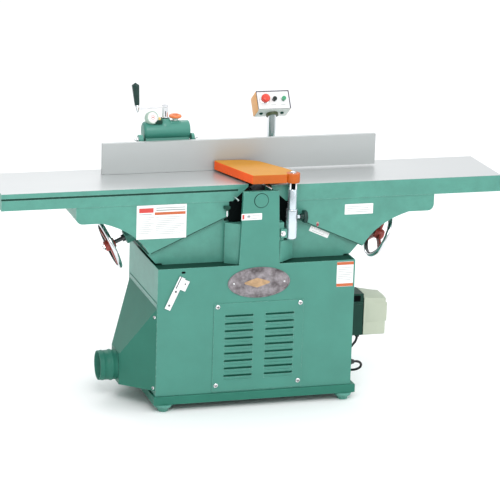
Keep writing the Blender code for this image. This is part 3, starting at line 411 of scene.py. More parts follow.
def lathe(profile, start, direction=UP, steps=40):
    """A (radius, distance) profile turned about a line; one that starts off the axis is closed."""
    bm = bmesh.new()
    rows = []
    for step in range(steps):
        angle = 2 * pi * step / steps
        row = []
        for index, (radius, distance) in enumerate(profile):
            if radius == 0 and step > 0:
                row.append(rows[0][index])
            else:
                row.append(bm.verts.new((radius * cos(angle), radius * sin(angle), distance)))
        rows.append(row)
    last = len(profile) if profile[0][0] > 0 else len(profile) - 1
    for step in range(steps):
        here, there = rows[step], rows[(step + 1) % steps]
        for index in range(last):
            after = (index + 1) % len(profile)
            corners = list(dict.fromkeys([here[index], here[after], there[after], there[index]]))
            if len(corners) > 2:
                bm.faces.new(corners)
    return moved(bm, Matrix.Translation(Vector(start)) @ toward(direction))


def bar(start, end, radius):
    """A round bar with broken ends."""
    start, end = Vector(start), Vector(end)
    length, inner = (end - start).length, radius - 0.001
    profile = [(0, 0), (inner, 0), (radius, 0.001), (radius, length - 0.001), (inner, length), (0, length)]
    return lathe(profile, start, end - start, 20)


def slab(outline, thickness, place=Matrix.Identity(4)):
    """A flat outline in X and Y, thickened along +Z, then placed."""
    bm = bmesh.new()
    face = bm.faces.new([bm.verts.new((x, y, 0)) for x, y in outline])
    made = bmesh.ops.extrude_face_region(bm, geom=[face])
    top = [v for v in made["geom"] if isinstance(v, bmesh.types.BMVert)]
    bmesh.ops.translate(bm, vec=(0, 0, thickness), verts=top)
    return moved(bm, place)


def facing_front(x, y, z):
    """Places a slab's X along X and its Y along Z, with its +Z towards the operator."""
    return placed(x, y, z) @ spun(90, "X")


def prism_y(outline, y0, y1):
    """An (x, z) outline from y0 to y1."""
    return slab(outline, y1 - y0, facing_front(0, y1, 0))


def prism_x(outline, x0, x1):
    """A (y, z) outline from x0 to x1."""
    along_x = Matrix(((0, 0, 1, 0), (1, 0, 0, 0), (0, 1, 0, 0), (0, 0, 0, 1)))
    return slab(outline, x1 - x0, placed(x0, 0, 0) @ along_x)


def arc(x, y, radius, start, stop, steps):
    """Points along an arc, in degrees."""
    turns = [radians(start + (stop - start) * k / steps) for k in range(steps + 1)]
    return [(x + radius * cos(a), y + radius * sin(a)) for a in turns]


def ellipse(x, y, across, tall, steps):
    turns = [2 * pi * k / steps for k in range(steps)]
    return [(x + across * cos(a), y + tall * sin(a)) for a in turns]


def round_rect(x0, x1, y0, y1, r, steps=5):
    outline = []
    for x, y, start in ((x1 - r, y1 - r, 0), (x0 + r, y1 - r, 90), (x0 + r, y0 + r, 180),
                        (x1 - r, y0 + r, 270)):
        outline += arc(x, y, r, start, start + 90, steps)
    return outline


def lobed(radius, depth, count):
    """A round outline with soft lobes."""
    turns = [2 * pi * k / 72 for k in range(72)]
    reaches = [radius - depth * (0.5 - 0.5 * cos(count * a)) for a in turns]
    return [(reach * cos(a), reach * sin(a)) for reach, a in zip(reaches, turns)]


def bead(points, radius):
    """A closed round bead along a loop of points that lies flat in X and Z."""
    bm = bmesh.new()
    normal = Vector(REAR)
    sides = 8
    rings = []
    count = len(points)
    for index, point in enumerate(points):
        along = (Vector(points[(index + 1) % count]) - Vector(points[index - 1])).normalized()
        out = along.cross(normal)
        rings.append([bm.verts.new(Vector(point) + (out * x + normal * y) * radius)
                      for x, y in ellipse(0, 0, 1, 1, sides)])
    for here, there in zip(rings, rings[1:] + rings[:1]):
        for side in range(sides):
            after = (side + 1) % sides
            bm.faces.new((here[side], here[after], there[after], there[side]))
    return bm


def screw_head(place, direction, radius, kind="pan"):
    """A cross-slotted pan head, or a hexagon head on a washer."""
    def shape(steps, *profile):
        return lathe([(radius * a, radius * b) for a, b in profile], ORIGIN, UP, steps)

    if kind == "hex":
        parts = [shape(40, (0, 0), (1.35, 0), (1.35, 0.18), (1.25, 0.25), (0, 0.25)),
                 shape(6, (0, 0.25), (1, 0.25), (1, 0.85), (0.85, 1), (0, 1))]
    else:
        dome = [(cos(radians(a)), 0.55 * sin(radians(a))) for a in (0, 25, 50, 70)]
        parts = [shape(24, (0, 0), *dome, (0, 0.55))]
        for x, y in ((0.62, 0.11), (0.11, 0.62)):
            low, high = (-radius * x, -radius * y, radius * 0.34), (radius * x, radius * y, radius * 0.6)
            parts.append(tinted(block(low, high), 1))
    return moved(merged(*parts), Matrix.Translation(Vector(place)) @ toward(direction))


def screws(name, body, places, direction, radius, kind="pan"):
    parts = [screw_head(at(*place), direction, radius, kind) for place in places]
    add_piece(name, merged(*parts), ["bright", "iron"], body, "chrome", sharp=30)


LABEL_MATS = ["label", "label_band", "label_rule", "border", "red_mark"]
BAND, GREY, PRINT_RED = 1, 2, 4


def plate_label(name, body, place, width, height, fields, rules):
    """A thin plate with coloured fields and plain rules, in millimetres: no lettering."""
    outline = round_rect(-width / 2000, width / 2000, -height / 2000, height / 2000, 0.002, 3)
    parts = [slab(outline, 0.0006)]
    bars = [(*field, 0.0009) for field in fields]
    bars += [(x0, x1, y, y + 1.4, GREY, 0.0008) for x0, x1, y in rules]
    for x0, x1, y0, y1, index, top in bars:
        low, high = (x0 / 1000, y0 / 1000, 0.0004), (x1 / 1000, y1 / 1000, top)
        parts.append(tinted(block(low, high), index))
    add_piece(name, moved(merged(*parts), place), LABEL_MATS, body)


# ---------------------------------------------------------------- pieces measured from the centre line
LINE = placed(0, LINE_Y, 0)


def piece(name, bm, mats, body="root", stands_for=None, **looks):
    add_piece(name, moved(bm, LINE), mats, body, None, stands_for, **looks)


def turned(name, mats, profile, start, direction=UP, steps=40, body="root", stands_for=None, **looks):
    piece(name, lathe(profile, start, direction, steps), mats, body, stands_for, **looks)


CUTTER_X = -0.005                              # the cutterhead's axis
PLUG_Z = 0.838                                 # the round plug of the neck
FRONT_Y = -0.2226                              # the cabinet's front face
PANEL_Y = FRONT_Y - 0.0028                     # the access panel's front face
REAR_Y = 0.2374                                # the cabinet's rear face
BODY_Y = -0.162                                # the front face of the tables' castings


# ---------------------------------------------------------------- cabinet and base
def make_cabinet():
    for node in ("cabinet_front", "cabinet_right", "cabinet_rear", "neck_frame"):
        refine(node, "green", 0.0008)
    refine("cabinet_left", "cast", 0.0008)
    for node in ("cabinet_deck", "chip_chute"):
        refine(node, "dark", 0.0006)
    # Painted shade: the base rail takes the darker shaded copy of the green.
    refine("base_frame", "low_green", 0.0022, 3)
    for foot in ("foot_front_left", "foot_front_right", "foot_rear_left", "foot_rear_right"):
        low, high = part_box(foot)
        x, y, top = (low.x + high.x) / 2, (low.y + high.y) / 2, high.z
        profile = mm(0, 0, 18.5, 0, 20.5, 2, 22.5, 12, 24.5, 15, 31, 16.5, 33.5, 18.5, 34.5, 22.5, 36, 23.5)
        profile += [(0.036, top - 0.001), (0.035, top), (0, top)]
        add_piece(foot + "_body", lathe(profile, (x, y, 0), UP, 48), "cast", "root", None, foot, sharp=50)
        pad = lathe(mm(20.5, 0, 21.5, 1, 21.5, 4, 20.5, 5), (x, y, 0.0045), UP, 6)
        add_piece(foot + "_pad", pad, "rubber", "root")


def louvre(x0, x1, z):
    """One pressed vent hood, proudest along its top."""
    proud, steps, rows = 0.0052, 18, 6
    bm = bmesh.new()
    front, back_top, back_low = [], [], []
    for i in range(steps + 1):
        t = i / steps
        swell = sqrt(max(0, 1 - abs(2 * t - 1) ** 6))
        x = x0 + (x1 - x0) * t
        column = []
        for j in range(rows + 1):
            v = j / rows
            height = proud * swell * (1 - v) ** 0.6 * (1 - 0.12 * (1 - v) ** 6)
            column.append(bm.verts.new((x, PANEL_Y - 0.0002 - height, z - 0.0036 - 0.0135 * v)))
        front.append(column)
        back_top.append(bm.verts.new((x, PANEL_Y + 0.0006, z - 0.0036)))
        back_low.append(bm.verts.new((x, PANEL_Y + 0.0006, z - 0.0171)))
    for i in range(steps):
        for j in range(rows):
            bm.faces.new((front[i][j], front[i + 1][j], front[i + 1][j + 1], front[i][j + 1]))
        bm.faces.new((back_top[i], back_top[i + 1], front[i + 1][0], front[i][0]))
        bm.faces.new((front[i][rows], front[i + 1][rows], back_low[i + 1], back_low[i]))
        bm.faces.new((back_low[i], back_low[i + 1], back_top[i + 1], back_top[i]))
    for i in (0, steps):
        bm.faces.new([back_top[i]] + front[i] + [back_low[i]])
    return bm


def make_access_panel():
    refine("access_panel", "green", 0.0007)
    hoods, lips = [], []
    for x0, x1 in mm(-138.5, -24, 27, 143):
        for row in range(9):
            z = 0.378 - 0.0306 * row
            hoods.append(louvre(x0 - 0.002, x1 + 0.002, z))
            lip = [(PANEL_Y + back, z + lift) for back, lift in mm(0.8, 5.2, 1.6, 5.2, 9.8, -7.5, 9, -7.8)]
            lips.append(prism_x(lip, x0 - 0.001, x1 + 0.001))
    piece("louvre_hoods", merged(*hoods), "green", sharp=50)
    # Painted shade: the lips inside the vents take the darker shaded copy of the green.
    piece("louvre_lips", merged(*lips), "low_green")
    corners = [(x, PANEL_Y, z) for x, z in mm(-170, 417, 168, 417, -170, 95, 168, 95)]
    screws("access_panel_screws", "root", corners, FRONT, 0.0098)


def make_nameplate():
    refine("nameplate", "bronze", 0.0004)
    y, z = FRONT_Y - 0.0048, 0.509
    loops = [bead([(x, y, up) for x, up in ellipse(CUTTER_X, z, across, tall, 96)], radius)
             for across, tall, radius in ((0.1225, 0.0575, 0.002), (0.113, 0.049, 0.0008))]
    piece("nameplate_rim", merged(*loops), "bronze", sharp=60)
    lozenge = slab(mm(0, 20, 49.3, 4, 52.7, 0, 49.3, -4, 0, -20, -49.3, -4, -52.7, 0, -49.3, 4), 0.0016,
                   facing_front(CUTTER_X - 0.008, y + 0.0004, z))
    piece("nameplate_lozenge", lozenge, "brass_dull", bevel=0.0007)
    profile = mm(0, 0, 4.2, 0, 3.6, 1.6, 1.8, 2.6, 0, 2.8)
    rivets = [lathe(profile, (CUTTER_X + dx, y + 0.0003, z), FRONT, 20) for dx in (-0.103, 0.103)]
    piece("nameplate_rivets", merged(*rivets), "bright")


def make_front_lever():
    refine("front_lever", "bright", 0.0009)
    tilt = placed(-0.345, FRONT_Y, 0.483) @ spun(25, "Y")
    heads = [moved(screw_head(ORIGIN, FRONT, radius), tilt @ placed(x, y, z))
             for x, y, z, radius in ((0, -0.0058, -0.052, 0.0045), (0, -0.0058, 0.008, 0.0045),
                                     (0.021, -0.0068, 0.05, 0.003))]
    piece("front_lever_screws", merged(*heads), ["oiled", "iron"])
    # Painted shade: a near-black strip for the shade of the seam beside the lever.
    seam = moved(block((-0.0062, -0.0073, 0.02), (-0.0042, -0.0058, 0.069)), tilt)
    piece("front_lever_seam", seam, "shade")
    # Painted shade: a near-black plate for the slot above the lever.
    slot = slab(round_rect(-0.008, 0.008, -0.004, 0.004, 0.0038), 0.0006,
                facing_front(-0.311, FRONT_Y, 0.564))
    piece("front_lever_slot", slot, "shade")


def make_rear():
    door = prism_y(round_rect(-0.33, 0.09, 0.11, 0.52, 0.008), REAR_Y + 0.0002, REAR_Y + 0.0028)
    piece("rear_door", door, "green", bevel=0.0007)
    corners = [(x, REAR_Y + 0.0027, z) for x, z in mm(-316, 124, 76, 124, -316, 506, 76, 506)]
    screws("rear_door_screws", "root", corners, REAR, 0.008)
    grip = prism_y(ellipse(-0.15, 0.3, 0.03, 0.012, 32), REAR_Y + 0.0026, REAR_Y + 0.0046)
    piece("rear_door_grip", grip, "black", bevel=0.0008)
    refine("rear_belt_cover", "green", 0.001)
    corners = [(x, REAR_Y, z) for x, z in mm(-76, 600, 112, 600, -76, 868, 64, 868)]
    screws("rear_cover_screws", "root", corners, REAR, 0.0065)


def make_dust():
    # Painted shade: the hood and its port take the darker shaded copy of the green.
    refine("dust_hood", "low_green", 0.001)
    flange = block((-0.4156, -0.2215, 0.4243), (-0.4133, 0.2215, 0.443))
    piece("dust_hood_flange", flange, "green", bevel=0.0006)
    for name, side in (("dust_hood_screws", -1), ("dust_hood_rear_screws", 1)):
        places = [(-0.4205, 0.212 * side, z) for z in (0.386, 0.098)]
        screws(name, "root", places, (-0.825, 0.565 * side, 0), 0.0068)
    profile = mm(59, 0, 59, 15, 61.2, 17.5, 62, 20.5, 62, 24.5, 61.2, 27.5, 59, 30, 59, 52, 60.6, 54,
                 60.6, 58, 59, 60, 59, 71, 58.4, 72, 56.8, 72, 56, 71.2, 56, 0)
    low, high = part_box("dust_port")
    turned("dust_port_body", "low_green", profile, (high.x, 0, (low.z + high.z) / 2), LEFT, 72, "root",
           "dust_port", sharp=50)


# ---------------------------------------------------------------- bed, neck and drive
def shape_wing(bm):
    """The casting's front block turns back beside the neck instead of ending square."""
    geometry = list(bm.verts) + list(bm.edges) + list(bm.faces)
    bmesh.ops.bisect_plane(bm, geom=geometry, plane_co=at(-0.08, 0, 0), plane_no=RIGHT)
    for vert in bm.verts:
        y = vert.co.y - LINE_Y
        if abs(vert.co.x + 0.127) < 0.0015 and y < -0.1455:
            vert.co.x = -0.133
            if y < -0.195:
                vert.co.y = -0.166 + LINE_Y


def make_bed():
    refine("bed_casting", "cast", 0.0022, 3, shape_wing)
    right = slab(mm(79, -218, 148, -164, 148, -148, 79, -148), 0.085, placed(0, 0, 0.5812))
    piece("bed_wing_right", right, "cast", bevel=0.0022)
    # Painted shade: near-black sheets in front of the bed, beside the neck, stand for the shade in the
    # openings under the tables.
    for side, inner, outer, floor in (("left", -0.058, -0.118, 0.743), ("right", 0.0475, 0.1225, 0.7)):
        knee = outer + copysign(0.058, -outer)
        screen = [(inner, floor), (outer, floor), (outer, 0.8225), (knee, 0.869), (inner, 0.869)]
        piece("painted_shade_screen_" + side, prism_y(screen, -0.164, -0.1628), "shade", bevel=0.0004)
    turned("neck_plug_body", "green", mm(0, 0, 27.2, 0, 27.2, 5, 26.2, 6, 25.5, 6.2, 0, 6.6),
           (CUTTER_X, FRONT_Y + 0.0035, PLUG_Z), FRONT, 56, "root", "neck_plug", sharp=50)
    # Painted shade: a near-black ring round the plug stands for the shade in its groove.
    turned("neck_plug_shade_ring", "shade", mm(26.8, 0, 29.2, 0, 29, 0.9, 27, 0.9),
           (CUTTER_X, FRONT_Y, PLUG_Z), FRONT, 56)
    for end in ("front", "rear"):
        refine("bearing_block_" + end, "iron", 0.0012)
    piece("bearing_cap_lug", block((0.019, -0.19, 0.869), (0.033, -0.176, 0.8915), 0.0015), "dark")
    bolts = [bar((0.023, -0.188, 0.8885), (0.039, -0.212, 0.8795), 0.0042),
             bar((-0.0998, -0.1666, 0.8445), (-0.0885, -0.196, 0.8345), 0.0038)]
    piece("bearing_cap_bolts", merged(*bolts), "bright")
    refine("cutterhead", "oiled", 0.0004)
    for node in ("head_pulley", "motor_pulley", "motor"):
        refine(node, "iron", 0.0005)
    refine("drive_belt", "rubber", 0.0004)


# ---------------------------------------------------------------- tables
WAY = radians(24)                              # the slope of the ways
INFEED_DROP = 0.0085                           # how far the infeed table starts below the other
TOP_SKIN = 0.0012                              # the ground top of a table
SIDES = (("outfeed", -1, Vector(ORIGIN)),
         ("infeed", 1, Vector((INFEED_DROP / tan(WAY), 0, -INFEED_DROP))))


def screw_spot(sign, shift, along):
    """A point on a table's lead screw: 0 where it enters the casting, + is outwards."""
    u = 0.457 + along * cos(WAY)
    return Vector((CUTTER_X + sign * u + shift.x, 0, 0.6686 - along * sin(WAY) + shift.z))


def make_tables():
    for side, sign, shift in SIDES:
        node = side + "_table"
        low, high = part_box(node)

        def lower_top(bm):
            for vert in bm.verts:
                if vert.co.z > high.z - 1e-4:
                    vert.co.z -= TOP_SKIN

        refine(node, "cast", 0.0016, 2, lower_top)
        top = block((low.x + 0.0003, low.y + 0.0003, high.z - TOP_SKIN),
                    (high.x - 0.0003, high.y - 0.0003, high.z))
        add_piece(node + "_top", top, "steel", node, bevel=0.0005)
        make_screw_and_wheel(side, sign, shift)
        refine(side + "_lead_nut", "iron", 0.001)
        refine(side + "_screw_bearing", "cast", 0.0012)


def make_screw_and_wheel(side, sign, shift):
    body = side + "_wheel"
    outwards = (screw_spot(sign, shift, 1) - screw_spot(sign, shift, 0)).normalized()
    start = screw_spot(sign, shift, -0.155)
    root, radius, pitch, length = 0.0066, 0.008, 0.0055, 0.283
    profile = [(0, 0), (root, 0)]
    place = 0.001
    while place < 0.136:
        profile += [(root, place), (radius, place + pitch * 0.35), (radius, place + pitch * 0.55)]
        place += pitch
    profile += [(root, place), (radius, place + 0.002), (radius, length - 0.001),
                (radius - 0.001, length), (0, length)]
    collar = lathe(mm(0, 189.3, 13, 189.3, 14, 190.3, 14, 200, 13, 201, 0, 201), start, outwards, 32)
    piece(side + "_lead_screw_body", merged(lathe(profile, start, outwards, 24), collar), "oiled", body,
          side + "_lead_screw", sharp=30)
    hub = screw_spot(sign, shift, 0.0996)
    turned(side + "_wheel_rim", "chrome", ellipse(0.0945, 0, 0.0085, 0.0085, 16), hub, outwards, 96, body,
           side + "_handwheel", sharp=60)
    turned(side + "_wheel_band", "black", mm(85.2, -6.6, 88.5, -7.2, 88.5, 7.2, 85.2, 6.6), hub, outwards,
           96, body)
    boss = mm(8.3, -22, 18, -22, 20, -20, 22.5, -8, 22.5, 10, 20.5, 19, 19, 21, 8.3, 21)
    spider = [lathe(boss, hub, outwards, 48)]
    spoke = mm(16, -12.5, 45, -8.5, 87, -10.5, 87, 10.5, 45, 8.5, 16, 12.5)
    first = 30 if side == "outfeed" else 90
    for step in range(3):
        turn = Matrix.Translation(hub) @ toward(outwards) @ spun(first + 120 * step, "Z")
        spider.append(slab(spoke, 0.0095, turn @ placed(0, 0, -0.00475)))
    piece(side + "_wheel_spider", merged(*spider), "red", body, bevel=0.0022, segments=3)
    turned(side + "_wheel_nut", "chrome", mm(8.3, 0, 12.5, 0, 12.5, 4.5, 11.5, 5.5, 8.3, 5.5),
           hub + outwards * 0.0212, outwards, 6, body)


def label_spot(x, y, z):
    return facing_front(x, y + LINE_Y, z)


def make_table_details():
    y = BODY_Y - 0.0002
    fields = [(-90, -33, 38, 56, PRINT_RED), (-90, -40, 30, 32.5, GREY), (-22, 94, 53.5, 56.5, GREY),
              (-22, 94, 44, 48, GREY), (-28, 95, 27.5, 38.5, BAND)]
    rules = [(-93, -30 - 10 * (k % 3), 18 - 7.8 * k) for k in range(9)]
    rules += [(-22, 90 - 12 * (k % 4), 18 - 7.4 * k) for k in range(10)]
    plate_label("outfeed_label", "outfeed_table", label_spot(-0.3875, y, 0.7555), 199, 135, fields, rules)
    rules = [(-50, 50 - 10 * (k % 2), 10 - 7.2 * k) for k in range(4)]
    plate_label("infeed_label", "infeed_table", label_spot(0.418, y, 0.77), 118, 42, [], rules)
    marks = [(-35.5 + 9 * k, -34.7 + 9 * k, 4 if k % 2 else 1, 9, GREY) for k in range(9)]
    scale = label_spot(0.262, -0.1452, 0.6786) @ spun(-24, "Z")
    plate_label("depth_scale", "root", scale, 86, 22, marks, [(-30, 22, -6)])
    blade = mm(248, 702.4, 253, 714, 253, 723, 251, 725, 245, 725, 243, 723, 243, 714)
    piece("depth_pointer_body", prism_y(blade, -0.163, -0.1618), "pointer", "infeed_table",
          "depth_pointer", bevel=0.0004)
    turned("depth_pointer_dot", "dot_red", mm(0, 0, 5.2, 0, 5, 0.8, 3.6, 1.4, 0, 1.6),
           (0.248, -0.1628, 0.7135), FRONT, 28, "infeed_table", sharp=50)
    # Painted shade: a dark strip along the foot of each table casting's front face stands for the shadow gap
    # over the ways.
    for side, sign, shift in SIDES:
        line = [(CUTTER_X + sign * u + shift.x, 0.6254 + (0.425 - u) * tan(WAY) + lift + shift.z)
                for u, lift in mm(112, 0, 422, 0, 422, 3.6, 112, 3.6)]
        piece(side + "_way_shade_line", prism_y(line, BODY_Y - 0.0005, BODY_Y + 0.0004), "dark",
              side + "_table")
    groove = block((-1.0157, -0.1632, 0.8653), (-0.083, -0.1619, 0.8727))
    piece("outfeed_edge_groove", groove, "dark", "outfeed_table")
    fields = [(-38, -30, -9, 9, PRINT_RED), (-18, -6, -3, 6, GREY)]
    plate_label("neck_label", "root", label_spot(-0.0425, FRONT_Y, 0.775), 83, 26, fields,
                [(0, 34, 4), (0, 34, -2), (-18, 24, -8)])
    fields = [(-34.5, 34.5, 38, 50, BAND), (-34.5, 34.5, -50, -38, BAND)]
    rules = [(-29, 29 - 6 * (k % 3), 26 - 7.2 * k) for k in range(8)]
    plate_label("cabinet_label", "root", label_spot(0.3495, FRONT_Y, 0.523), 69, 102, fields, rules)
    stop = bar((-0.1265, -0.17, 0.766), (-0.1265, -0.17, 0.79), 0.004)
    piece("outfeed_stop_bolt", stop, "bright", "outfeed_table")
    nut = lathe(mm(0, 0, 6.5, 0, 6.5, 6, 5.6, 7, 0, 7), (-0.1265, -0.1718, 0.79), UP, 6)
    lug = mm(-140, -178.5, -117, -178.5, -117, -165, -127, -165, -127, -161.5, -140, -161.5)
    piece("outfeed_stop_nut", merged(nut, slab(lug, 0.011, placed(0, 0, 0.797))), "dark",
          "outfeed_table")


# ---------------------------------------------------------------- cutter guard
PIVOT = Vector((0.13, -0.192, 0))              # the guard's post


def make_guard():
    x, y = PIVOT.x, PIVOT.y
    outline = mm(-37, -205, 95, -209, 101, -207.5)
    outline += arc(x, y, 0.0255, 200, 420, 20)
    outline += mm(139, -140, 120, -98, 58, 20, 30, 42, -5, 58, -108, 64.5, -117, 61, -119, 54)
    body = slab(outline, 0.0358, placed(0, 0, 0.8991))
    body.normal_update()
    # Painted light: faces on top take the lighter top copy of the orange, and left-facing faces the brighter
    # side copy.
    for face in body.faces:
        if face.calc_center_median().z > 0.93:
            face.material_index = 1
        elif face.normal.x < -0.8:
            face.material_index = 2
    piece("guard_plate_body", body, ["orange", "orange_painted_lit_top", "orange_painted_lit_side"], "guard", "guard_plate",
        bevel=0.0032, segments=4)
    turned("guard_knuckle", "orange", mm(0, 0, 25.5, 0, 27.2, 2, 27.2, 35.5, 26.2, 36.8, 24.5, 37.3, 0, 37.3),
           (x, y, 0.8988), UP, 48, "guard", sharp=50)
    turned("guard_top_stud", "chrome", mm(0, 0, 13.5, 0, 13.5, 1.2, 9.5, 1.4, 9, 5, 6, 6.6, 0, 7),
           (x, y, 0.9362), UP, 32, "guard")

    profile = mm(0, 700, 17.2, 700, 18, 701, 18, 869, 16.8, 871, 11, 871.2, 11, 898.5, 0, 898.5)
    turned("guard_post_body", "sleeve", profile, (x, y, 0), UP, 56, "guard_post", "guard_post", sharp=40)
    cheeks = [block((x + dx, y - 0.013, 0.8712), (x + dx + 0.0065, y + 0.01, 0.898), 0.001)
              for dx in (-0.0165, 0.007)]
    piece("guard_post_fork", merged(*cheeks), "bright", "guard_post")
    # Painted shade: a near-black block stands for the shade in the gap of the fork.
    piece("guard_post_gap", block((x - 0.0102, y - 0.012, 0.8714), (x + 0.0072, y - 0.0105, 0.8978)),
        "shade", "guard_post")
    sleeve = lathe(mm(18.3, 672, 20.5, 672, 22.5, 674, 23, 677, 23, 789, 22.6, 791, 21.5, 792, 18.3, 792),
                   (x, y, 0), UP, 56)
    boss = lathe(mm(4.3, 0, 8.5, 0, 8.5, 10, 7.5, 11.5, 4.3, 11.5), (x + 0.0222, y, 0.758), RIGHT, 28)
    piece("guard_sleeve_body", merged(sleeve, boss), "sleeve", "root", "guard_sleeve", sharp=40)
    # Painted shade: near-black lines for the shade in the grooves of the sleeve and its boss.
    lines = [lathe(mm(22.8, 0, 23.3, 0, 23.3, 1, 22.8, 1), (x, y, 0.786), UP, 56),
             lathe(mm(7.6, 0, 9.2, 0, 9.2, 1.2, 7.6, 1.2), (x + 0.033, y, 0.758), RIGHT, 28)]
    piece("guard_sleeve_lines", merged(*lines), "shade")

    start = Vector((x + 0.0185, y, 0.758))
    knob = "guard_clamp_knob"
    star = slab(lobed(0.0262, 0.0016, 6), 0.015, placed(start.x + 0.0275, y, start.z) @ toward(RIGHT))
    piece("guard_knob_star", star, "grip", knob, knob, bevel=0.0034, segments=4, sharp=45)
    turned("guard_knob_neck", "grip", mm(0, 16.5, 10, 16.5, 12.5, 20, 15, 28.5, 0, 28.5), start, RIGHT, 32,
           knob, sharp=50)
    turned("guard_knob_cap", "oiled", mm(0, 42, 8.5, 42, 7.5, 43.4, 0, 44), start, RIGHT, 28, knob,
           sharp=50)
    piece("guard_knob_screw", bar(start, start + Vector((0.018, 0, 0)), 0.0039), "chrome", knob)
    refine("guard_bracket", "cast", 0.0018)
    screws("guard_bracket_bolt", "root", [(0.0915, -0.2123, 0.6975)], (0.15, -1, 0), 0.0082, "hex")


# ---------------------------------------------------------------- fence
MID_X = -0.299                                 # the middle of the fence's housing
BARREL = (-0.385, -0.197)                      # the two ends of the housing's barrel
BARREL_Y, BARREL_Z, BARREL_R = 0.172, 1.038, 0.0388
FENCE_LOW = 0.8923                             # the fence plate's lower edge
FENCE_BACK = 0.089                             # the fence plate's rear face
HINGE = Vector((MID_X, FENCE_BACK + 0.0012, FENCE_LOW + 0.008))
# The crank's foot, on top of the housing.
SPINDLE = Vector((MID_X + 0.004, BARREL_Y, BARREL_Z + BARREL_R + 0.012))


def make_fence():
    refine("fence_plate", "fence_steel", 0.0009)
    for node in ("fence_bracket", "fence_saddle"):
        refine(node, "cast", 0.0018)
    ribs = [block((x - 0.004, FENCE_BACK + 0.0001, 0.916), (x + 0.004, 0.0955, 1.013))
            for x in (-0.54, -0.47, -0.135, -0.045, 0.045, 0.135, 0.225, 0.315, 0.405, 0.5)]
    for x0, x1 in ((-0.566, -0.42), (-0.18, 0.555)):
        ribs.append(block((x0, FENCE_BACK + 0.0001, 1.006), (x1, 0.095, 1.015)))
        ribs.append(block((x0, FENCE_BACK + 0.0001, 0.914), (x1, 0.095, 0.922)))
    piece("fence_back_ribs", merged(*ribs), "cast", "fence", bevel=0.0012)

    x0, x1 = BARREL
    flange = block((x0 - 0.01, 0.12, 0.99), (x1 + 0.004, 0.225, 1.003))
    gusset = prism_x([(FENCE_BACK + 0.0003, HINGE.z + 0.012), (HINGE.y + 0.002, HINGE.z + 0.012),
                      (HINGE.y + 0.066, 0.991), (HINGE.y + 0.066, 1.003), (FENCE_BACK + 0.0003, 1.003)],
                     x0 + 0.03, x1 - 0.03)
    web = [(BARREL_Y + across, z) for across, z in mm(-36, 1002, 36, 1002, 30, 1018, -30, 1018)]
    web = prism_x(web, x0 + 0.006, x1 - 0.004)
    piece("fence_housing_base", merged(flange, gusset, web), "green", "fence", bevel=0.0024, segments=3)
    length = x1 - x0
    round_end = arc(BARREL_R - 0.013, 0.013, 0.013, -90, 0, 5)
    round_end += arc(BARREL_R - 0.004, length - 0.004, 0.004, 0, 90, 3)
    turned("fence_housing_barrel", "green", [(0, 0), *round_end, (0, length)], (x0, BARREL_Y, BARREL_Z),
        RIGHT, 72, body="fence", stands_for="fence_housing", sharp=50)
    top = BARREL_Z + BARREL_R
    boss = lathe(mm(0, -20, 34, -20, 30, -2, 23.5, 3, 20, 7, 19.5, 11.2, 18.5, 12, 0, 12),
                 (SPINDLE.x, SPINDLE.y, top))
    lump = block((-0.35, 0.15, top - 0.012), (-0.304, 0.186, top + 0.0025), 0.005, 3)
    small_lump = block((-0.29, 0.152, top - 0.012), (-0.235, 0.186, top + 0.0015), 0.0045, 3)
    piece("fence_housing_bosses", merged(boss, lump, small_lump), "green", "fence", sharp=50)
    wedge = [(x, top + lift) for x, lift in mm(-351, -6, -311, -6, -311, 9, -329, 9)]
    piece("fence_housing_pad", prism_y(wedge, 0.143, 0.155), "dark", "fence", bevel=0.0015)
    turned("fence_brass_nut", "brass", mm(0, 0, 10.5, 0, 10.5, 10, 9.2, 12, 5, 12.5, 5, 16, 0, 17),
           (-0.321, 0.162, top + 0.002), UP, 6, "fence", bevel=0.0006)

    dial = Vector((x0 + 0.033, BARREL_Y - 0.012, top + 0.017))
    facing = Vector((0.25, -0.9, 0.35)).normalized()
    cup = mm(0, -24, 15, -23.5, 21.5, -20, 25, -13, 26.2, -4, 26.2, 10.5, 25.2, 12, 23.2, 12, 22.2, 10, 0, 10)
    turned("fence_dial_cup", "pale_green", cup, dial, facing, 48, "fence", sharp=50)
    face = lathe(mm(0, 0, 21.5, 0, 21.5, 0.8, 0, 1), dial + facing * 0.01, facing, 48)
    pin = lathe(mm(0, 0, 3, 0, 2.6, 2, 0, 2.4), dial + facing * 0.0108, facing, 20)
    hoop = lathe(mm(8, 0, 9.2, 0, 9.2, 0.4, 8, 0.4), dial + facing * 0.0108, facing, 40)
    ticks = [tinted(face, 0), tinted(pin, 1), tinted(hoop, 1)]
    around = Matrix.Translation(dial + facing * 0.0106) @ toward(facing)
    for step in range(24):
        inner = 0.0165 if step % 6 else 0.0145
        mark = block((inner, -0.0003, 0), (0.02, 0.0003, 0.0005))
        ticks.append(tinted(moved(mark, around @ spun(15 * step, "Z")), 1))
    piece("fence_dial_face", merged(*ticks), ["label", "red_mark"], "fence")

    for end, x, sign in (("left", x0 - 0.01, -1), ("right", x1 + 0.004, 1)):
        reach = 0.016 if sign < 0 else 0.01
        ear = mm(118, 990, 158, 990, 158, 1012) + arc(0.138, 1.012, 0.02, 15, 165, 10) + [(0.118, 1.012)]
        limits = sorted((x - sign * 0.002, x + sign * reach))
        piece("fence_ear_" + end, prism_x(ear, *limits), "cast", "fence", bevel=0.0016, segments=3)
        tip = Vector((x + sign * reach, 0.138, 1.013))
        screws("fence_ear_nut_" + end, "fence", [tip], (sign, 0, 0), 0.0078, "hex")
        piece("fence_ear_stud_" + end, bar(tip, tip + Vector((sign * 0.016, 0, 0)), 0.004), "bright",
            "fence")


